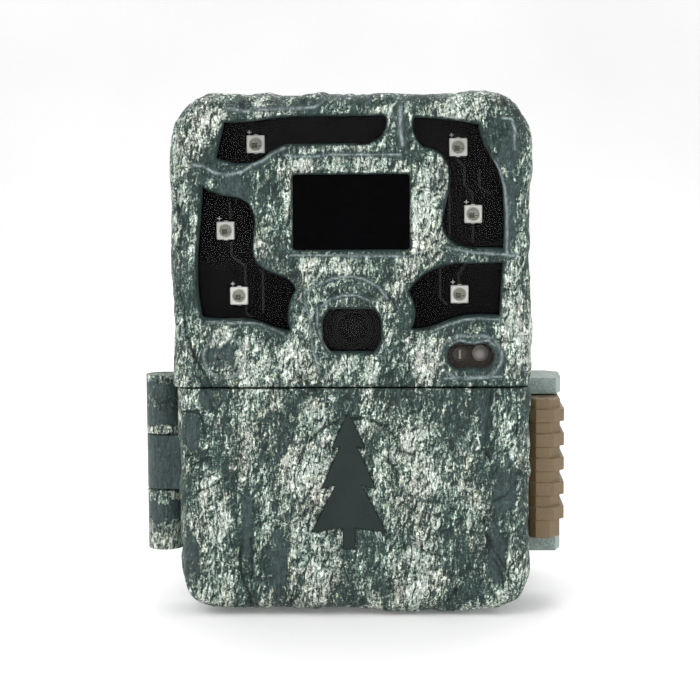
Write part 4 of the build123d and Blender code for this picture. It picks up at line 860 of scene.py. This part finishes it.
# hinge, latch, bracket and inner mouldings keep their CAD shape, with rounded edges
for values in (("hingeKnuckles", "barkPlain", "camo_shell", "housing", "hinge_knuckles", 0.7, 3),
               ("latchEars", "ear", "camo_shell", "housing", "latch_ears", 0.6, 3),
               ("doorEmblem", "emblem", "emblem", "door", "door_emblem", 0.12, 2),
               ("backBracket", "blackPlastic", "black_plastic", "bracket", "mount_bracket", 0.35, 2),
               ("controlPanel", "panel", "panel_grey", "housing", "control_panel", 0.3, 2),
               ("trayHatch", "tray", "tray_plastic", "tray", "battery_hatch", 0.25, 2),
               ("pirCover", "blackGloss", "window", "housing", "pir_window", 0.5, 3)):
    bevelledCopy(*values)
print("moulded pieces done")


def tube(rings):
    # rings of points joined in order, with both ends closed
    count, around = rings.shape[:2]
    number = np.arange(count * around).reshape(count, around)
    after = np.roll(number, -1, axis=1)
    quads = np.stack([number[:-1], after[:-1], after[1:], number[1:]], -1).reshape(-1, 4)
    return rings.reshape(-1, 3), quads.tolist() + [number[0][::-1].tolist(), number[-1].tolist()]


def lathe(profile, centre, sides):
    # the profile's radius turned about the y axis, one ring for each profile point
    radius, y = np.asarray(profile, float).T[:, :, None]
    angles = np.linspace(0, 2 * math.pi, sides, endpoint=False)
    return tube(joined(centre[0] + radius * np.cos(angles), y, centre[1] + radius * np.sin(angles)))


def squareToRound(rows, centre, sides=64):
    # each row is (half size, roundness 0-1, y): the section goes from a square to a circle of that half size
    half, roundness, y = np.asarray(rows, float).T[:, :, None]
    angles = np.linspace(0, 2 * math.pi, sides, endpoint=False) + math.pi / sides
    square = 1 / np.maximum(np.abs(np.cos(angles)), np.abs(np.sin(angles)))
    reach = half * (square * (1 - roundness) + roundness)
    return tube(joined(centre[0] + reach * np.cos(angles), y, centre[1] + reach * np.sin(angles)))


def outwardMesh(name, parts, smoothAngle=40.0):
    # closed parts joined in one mesh whose faces are turned outwards
    points, faces = [], []
    for somePoints, someFaces in parts:
        faces += [[corner + len(points) for corner in face] for face in someFaces]
        points += np.asarray(somePoints, float).tolist()
    piece = addMesh(name, points, faces, smoothAngle)
    work = bmesh.new()
    work.from_mesh(piece.data)
    bmesh.ops.recalc_face_normals(work, faces=work.faces)
    work.to_mesh(piece.data)
    work.free()
    return piece


def slab(low, high):
    # a plate with its front edges bevelled, as one closed ring of sections along y
    low, high = np.array(low, float), np.array(high, float)
    edge = min(0.12, 0.25 * (high - low).min())
    return tube(np.array([[(low[0] + inset, y, low[2] + inset), (high[0] - inset, y, low[2] + inset),
                           (high[0] - inset, y, high[2] - inset), (low[0] + inset, y, high[2] - inset)]
                          for inset, y in ((0.0, high[1]), (0.0, low[1] + edge), (edge, low[1]))]))


lever = {"inner": 43.4, "ribs": 5, "topRib": 48.3, "pitch": 6.1, "ribHigh": 3.1, "step": 0.5, "soft": 0.22,
         "edge": 0.2, "end": 0.35, "hook": (43.9, -26.4, -25.2, 24.0, 46.0)}


def ribbedLever():
    # one faceted section carried up the lever: it steps out by a set amount between the two heights of each rib
    (left, front, low), (right, back, high) = boxOf("latch_lever")
    end, half = lever["end"], lever["ribHigh"] / 2
    rows = [(low, 0.0, end), (low + end, 0.0, 0.0)]
    for count in range(lever["ribs"])[::-1]:
        middle = lever["topRib"] - count * lever["pitch"]
        for offset, out in ((-half - lever["soft"], 0.0), (-half, 1.0), (half, 1.0), (half + lever["soft"], 0.0)):
            rows.append((middle + offset, out, 0.0))
    z, out, pinch = np.array(rows + [(high - end, 0.0, 0.0), (high, 0.0, end)]).T
    outer, face, inside = right - 1.0 + out - pinch, front + lever["step"] * (1 - out) + pinch, lever["inner"] + pinch
    section = [(inside, face + 1.6), (inside + 1.5, face), (outer - 2.6, face), (outer, face + 3.0),
               (outer, back - 4.4), (outer - 1.6, back - 0.2 - pinch), (right - 6.8, back - pinch),
               (inside, back - 2.0 - pinch)]
    body = tube(np.stack([joined(x, y, z) for x, y in section], 1))
    x1, y0, y1, z0, z1 = lever["hook"]
    piece = outwardMesh("latchLever", [body, slab((left, y0, z0), (x1, y1, z1))], 30)
    roundEdges(piece, lever["edge"], 2, 28)
    dress(piece, "latch", "latch_plastic", "latch", "latch_lever")


ribbedLever()


def clusters(nodeName):
    # box of every separate solid in a CAD node
    points, corners = weldedNode(nodeName)
    edges = np.concatenate([corners[:, [0, 1]], corners[:, [1, 2]]])
    labels = loopLabels(edges)
    solids = [points[np.unique(edges[labels == label])] for label in np.unique(labels)]
    return [(some.min(0), some.max(0)) for some in solids]


lamp = {"wall": 0.16, "cup": 1.72, "floor": 1.32, "cupDepth": 0.75, "die": 0.64, "dieShift": 0.3, "dome": 1.5,
        "tab": 0.24, "bar": 0.5, "barHalf": 0.09}
packages, domes, dies, signs = [], [], [], []
for low, high in clusters("led_packages"):
    x, z, half = (low[0] + high[0]) / 2, (low[2] + high[2]) / 2, (high[0] - low[0]) / 2
    front, back, tab, dieHalf = low[1], high[1], lamp["tab"], lamp["die"]
    bottom, dieX, dieZ = front + lamp["cupDepth"], x - lamp["dieShift"], z - lamp["dieShift"]
    packages.append(squareToRound([(half, 0, back), (half, 0, front + lamp["wall"]), (half - lamp["wall"], 0, front),
                                   (lamp["cup"] + 0.1, 1, front), (lamp["cup"], 1, front + 0.08),
                                   (lamp["floor"], 1, bottom), (0.3, 1, bottom)], (x, z)))
    packages.append(slab((x - 2 * tab, back - 0.3, z - half - tab), (x + 2 * tab, back - 0.05, z + half + tab)))
    dies.append(slab((dieX - dieHalf, bottom - 0.22, dieZ - dieHalf), (dieX + dieHalf, bottom, dieZ + dieHalf)))
    dies.append(slab((dieX + 0.2, bottom - 0.3, dieZ - 0.14), (dieX + 1.5, bottom - 0.2, dieZ + 0.02)))
    arc = np.linspace(0, math.pi / 2, 12)
    profile = np.stack([lamp["dome"] * np.cos(arc), front + 0.35 - 1.15 * np.sin(arc)], 1)
    profile[-1, 0] = 0.04
    domes.append(lathe(profile, (x, z), 40))
    for wide, tall in ((lamp["bar"], lamp["barHalf"]), (lamp["barHalf"], lamp["bar"])):
        signX, signZ = x - 1.6, z + half + 0.75
        signs.append(slab((signX - wide, back - 0.06, signZ - tall), (signX + wide, back, signZ + tall)))
dress(outwardMesh("lampPackages", packages), "ceramic", "lamp_package", "housing", "led_packages")
dress(outwardMesh("lampDomes", domes, 60), "dome", "lamp_dome", "housing", "led_domes")
dress(outwardMesh("lampDies", dies), "die", "chip", "housing")
dress(outwardMesh("polarityMarks", signs), "ceramic", "lamp_package", "housing")


def ribbonPath(line, width, y, thick=0.05):
    # a flat strip along a broken line, its corners mitred
    line = np.asarray(line, float)
    step = np.diff(line, axis=0)
    step = step / np.linalg.norm(step, axis=1)[:, None]
    ahead, behind = np.vstack([step, step[-1:]]), np.vstack([step[:1], step])
    side = np.stack([-(ahead + behind)[:, 1], (ahead + behind)[:, 0]], 1)
    side = side / np.maximum(np.linalg.norm(side, axis=1), 1e-9)[:, None]
    reach = width / 2 / np.maximum((side * np.stack([-ahead[:, 1], ahead[:, 0]], 1)).sum(1), 0.3)
    left, right = line + side * reach[:, None], line - side * reach[:, None]
    return tube(np.stack([joined(spots[:, 0], height, spots[:, 1])
                          for spots, height in ((left, y), (right, y), (right, y - thick), (left, y - thick))], 1))


traces = {"width": 0.55, "lines": [
    [(-29.9, 101.4), (-29.9, 97.0)], [(-29.6, 91.5), (-29.6, 88.0), (-26.3, 85.5), (-26.3, 80.9)],
    [(-26.2, 75.6), (-26.2, 74.0), (-25.0, 73.0)], [(-22.0, 86.0), (-22.0, 74.0)],
    [(25.4, 111.4), (27.3, 109.4), (27.3, 105.0), (29.3, 103.0), (29.3, 100.6)],
    [(31.0, 108.8), (31.0, 104.6), (33.4, 102.8)], [(23.7, 108.8), (23.7, 91.5)], [(29.4, 95.4), (29.4, 91.0)],
    [(27.8, 86.0), (25.9, 83.4), (25.9, 81.2)], [(21.9, 86.0), (21.4, 84.8), (21.4, 77.6), (23.2, 75.8)]]}
boardFront = boxOf("led_board_left")[0][1]
strips = [ribbonPath(line, traces["width"], boardFront) for line in traces["lines"]]
dress(outwardMesh("boardTraces", strips), "trace", "board", "housing")

# radius and depth behind the front edge: outer wall, stepped black rings and a cone down to the glass
lens = {"rings": [(8.2, 0.3), (7.9, 0.0), (7.1, 0.0), (6.9, 0.5), (6.4, 0.5), (6.3, 0.9), (5.9, 0.9), (5.8, 0.1),
                  (5.6, -0.1), (5.2, -0.1), (5.0, 0.1), (4.9, 0.7), (4.5, 0.8), (4.4, 1.2), (4.0, 1.3), (3.8, 1.9),
                  (0.05, 2.2)], "glass": 3.7, "bulge": 1.2, "rim": 3.75}
low, high = boxOf("lens_barrel")
lensCentre = (low[0] + high[0]) / 2, (low[2] + high[2]) / 2
barrel = [(0.05, high[1]), (8.2, high[1])] + [(radius, low[1] + depth) for radius, depth in lens["rings"]]
dress(outwardMesh("lensBarrel", [lathe(barrel, lensCentre, 96)], 30), "lensBlack", "black_plastic", "housing",
      "lens_barrel")
rimY = boxOf("lens_glass")[0][1] + lens["bulge"]
arc = np.linspace(0, math.pi / 2, 16)[1:]
glass = [(lens["rim"], rimY + 1.0), (lens["rim"], rimY)] + [
    (lens["glass"] * math.cos(t) + 0.03, rimY - lens["bulge"] * math.sin(t)) for t in arc]
dress(outwardMesh("lensGlass", [lathe(glass, lensCentre, 72)], 60), "glass", "lens", "housing", "lens_glass")


def roundPart(name, nodeName, key, slotName, rows):
    # rows are (radius, y) in front of the back plate of a CAD node's round part
    low, high = boxOf(nodeName)
    radius, centre = (high[0] - low[0]) / 2, ((low[0] + high[0]) / 2, (low[2] + high[2]) / 2)
    profile = [(0.05, high[1]), (radius, high[1])] + rows(radius, low[1])
    dress(outwardMesh(name, [lathe(profile, centre, 48)], 45), key, slotName, "housing", nodeName)
    return (*centre, low[1])


# status lamp under the left lobe and light sensor under the right one
x, z, front = roundPart("statusLamp", "status_led", "lampCup", "lamp_package", lambda radius, front: [
    (radius, front + 0.3), (radius - 0.2, front), (radius - 0.45, front), (radius - 0.6, front + 0.5),
    (0.05, front + 0.6)])
dress(outwardMesh("statusDie", [slab((x - 0.3, front - 0.1, z - 1.1), (x + 0.3, front + 0.6, z + 1.1))]), "ceramic",
      "clear", "housing")
roundPart("lightSensor", "light_sensor", "ceramic", "clear", lambda radius, front: [
    (radius, front + 1.6), (radius - 0.25, front + 1.4)] + [
    ((radius - 0.3) * math.cos(t) + 0.03, front + 1.4 - 1.4 * math.sin(t)) for t in np.linspace(0.05, math.pi / 2, 12)])
print("small parts done")

# every other CAD node keeps its shape and gets a made finish
carried = {
    "window": "ir_window_left ir_window_right", "smoke": "status_window", "clear": "lens_window display_cover",
    "board": "led_board_left led_board_right status_board", "lensBlack": "lens_shroud",
    "blackPlastic": "lens_holder dc_jack", "greenBoard": "main_board sensor_board control_board",
    "chip": "board_chips image_sensor", "metalCan": "pir_sensor microphone sd_socket", "glass": "ir_cut_filter",
    "ribbon": "ribbon_cable", "rubber": "case_gasket hatch_seal dc_cover", "brass": "tripod_insert",
    "steel": "bracket_pin hinge_pin latch_pin case_screws control_panel_screws main_board_screws sensor_board_screws",
    "spring": "battery_contacts", "tray": "battery_tray", "cell": "battery_cells", "enter": "button_enter",
    "button": "button_up button_down button_left button_right power_switch", "display": "display_panel",
    "card": "sd_card",
}
for key, names in carried.items():
    for nodeName in names.split():
        nodes[nodeName].data.materials.clear()
        nodes[nodeName].data.materials.append(finish[key])
dressed = " ".join(carried.values()).split()
left = [name for name in nodes if name not in dressed and not nodes[name].hide_render]
print("carried nodes dressed:", len(dressed), "without a finish:", left)


def paleFloor(graph):
    # nearly white, in two tones of one broad noise
    tone = graph.noise(graph.place((4, 4, 4)), 1.0, 3)
    return {"Base Color": graph.blend(graph.ramp(tone, 0.3, 0.7), tint(240, 240, 240), tint(246, 246, 246)),
            "Roughness": graph.ramp(tone, 0.3, 0.7, 0.85, 0.95)}


def studioFloor():
    # floor that curves up behind: y and z of the section follow a quarter circle between two straight runs
    bend = np.linspace(0, math.pi / 2, 24)
    curve = np.stack([1.2 + 0.6 * np.sin(bend), 0.6 - 0.6 * np.cos(bend)], 1)
    section = np.concatenate([[(-3.0, 0.0)], curve, [(1.8, 2.6)]])
    across = np.linspace(-3.5, 3.5, 12)
    mesh = bpy.data.meshes.new("studioFloor")
    mesh.from_pydata(joined(across[:, None], section[:, 0], section[:, 1]).reshape(-1, 3).tolist(), [],
                     gridQuads(len(across), len(section))[:, ::-1].tolist())
    mesh.shade_smooth()
    mesh.materials.append(newMaterial("paleFloor", paleFloor, Emission_Color=(1.0, 1.0, 1.0, 1),
                                      Emission_Strength=0.12))
    addObject("studioFloor", mesh)


def softLight(name, place, size, power):
    data = bpy.data.lights.new(name, "AREA")
    data.shape, data.size, data.energy = "DISK", size, power
    light = addObject(name, data)
    light.location = place
    light.rotation_euler = (Vector(studio["lit"]) - Vector(place)).to_track_quat("-Z", "Y").to_euler()


studio = {"distance": 473.0, "rise": 6.23, "swing": 1.9, "roll": -0.38, "lens": 101.0, "aim": (-0.45, -38.0, 65.8),
          "lit": (0.0, 0.0, 0.06), "room": 0.80}
studioFloor()
softLight("keyLeft", (-0.55, -0.75, 0.75), 0.7, 4.2)
softLight("fillRight", (0.75, -0.8, 0.45), 0.7, 2.2)
softLight("topBack", (0.0, 0.55, 0.9), 0.9, 6.0)
softLight("frontLow", (0.0, -1.3, 0.15), 0.5, 0.8)
world = bpy.data.worlds.new("paleRoom")
world.use_nodes = True
Graph(world.node_tree).fill(world.node_tree.nodes["Background"], {0: (1.0, 1.0, 1.0, 1), 1: studio["room"]})
bpy.context.scene.world = world
bpy.context.scene.view_settings.view_transform = "Standard"

camera = addObject("camera", bpy.data.cameras.new("camera"))
camera.data.lens, camera.data.sensor_width, camera.data.clip_start = studio["lens"], 36.0, 0.02
aim, rise, swing = Vector(studio["aim"]) * 0.001, math.radians(studio["rise"]), math.radians(studio["swing"])
away = Vector((math.sin(swing) * math.cos(rise), -math.cos(swing) * math.cos(rise), math.sin(rise)))
camera.location = aim + studio["distance"] * 0.001 * away
look = (aim - camera.location).to_track_quat("-Z", "Y")
camera.rotation_euler = (look.to_matrix().to_4x4() @ Matrix.Rotation(math.radians(studio["roll"]), 4, "Z")).to_euler()
bpy.context.scene.camera = camera
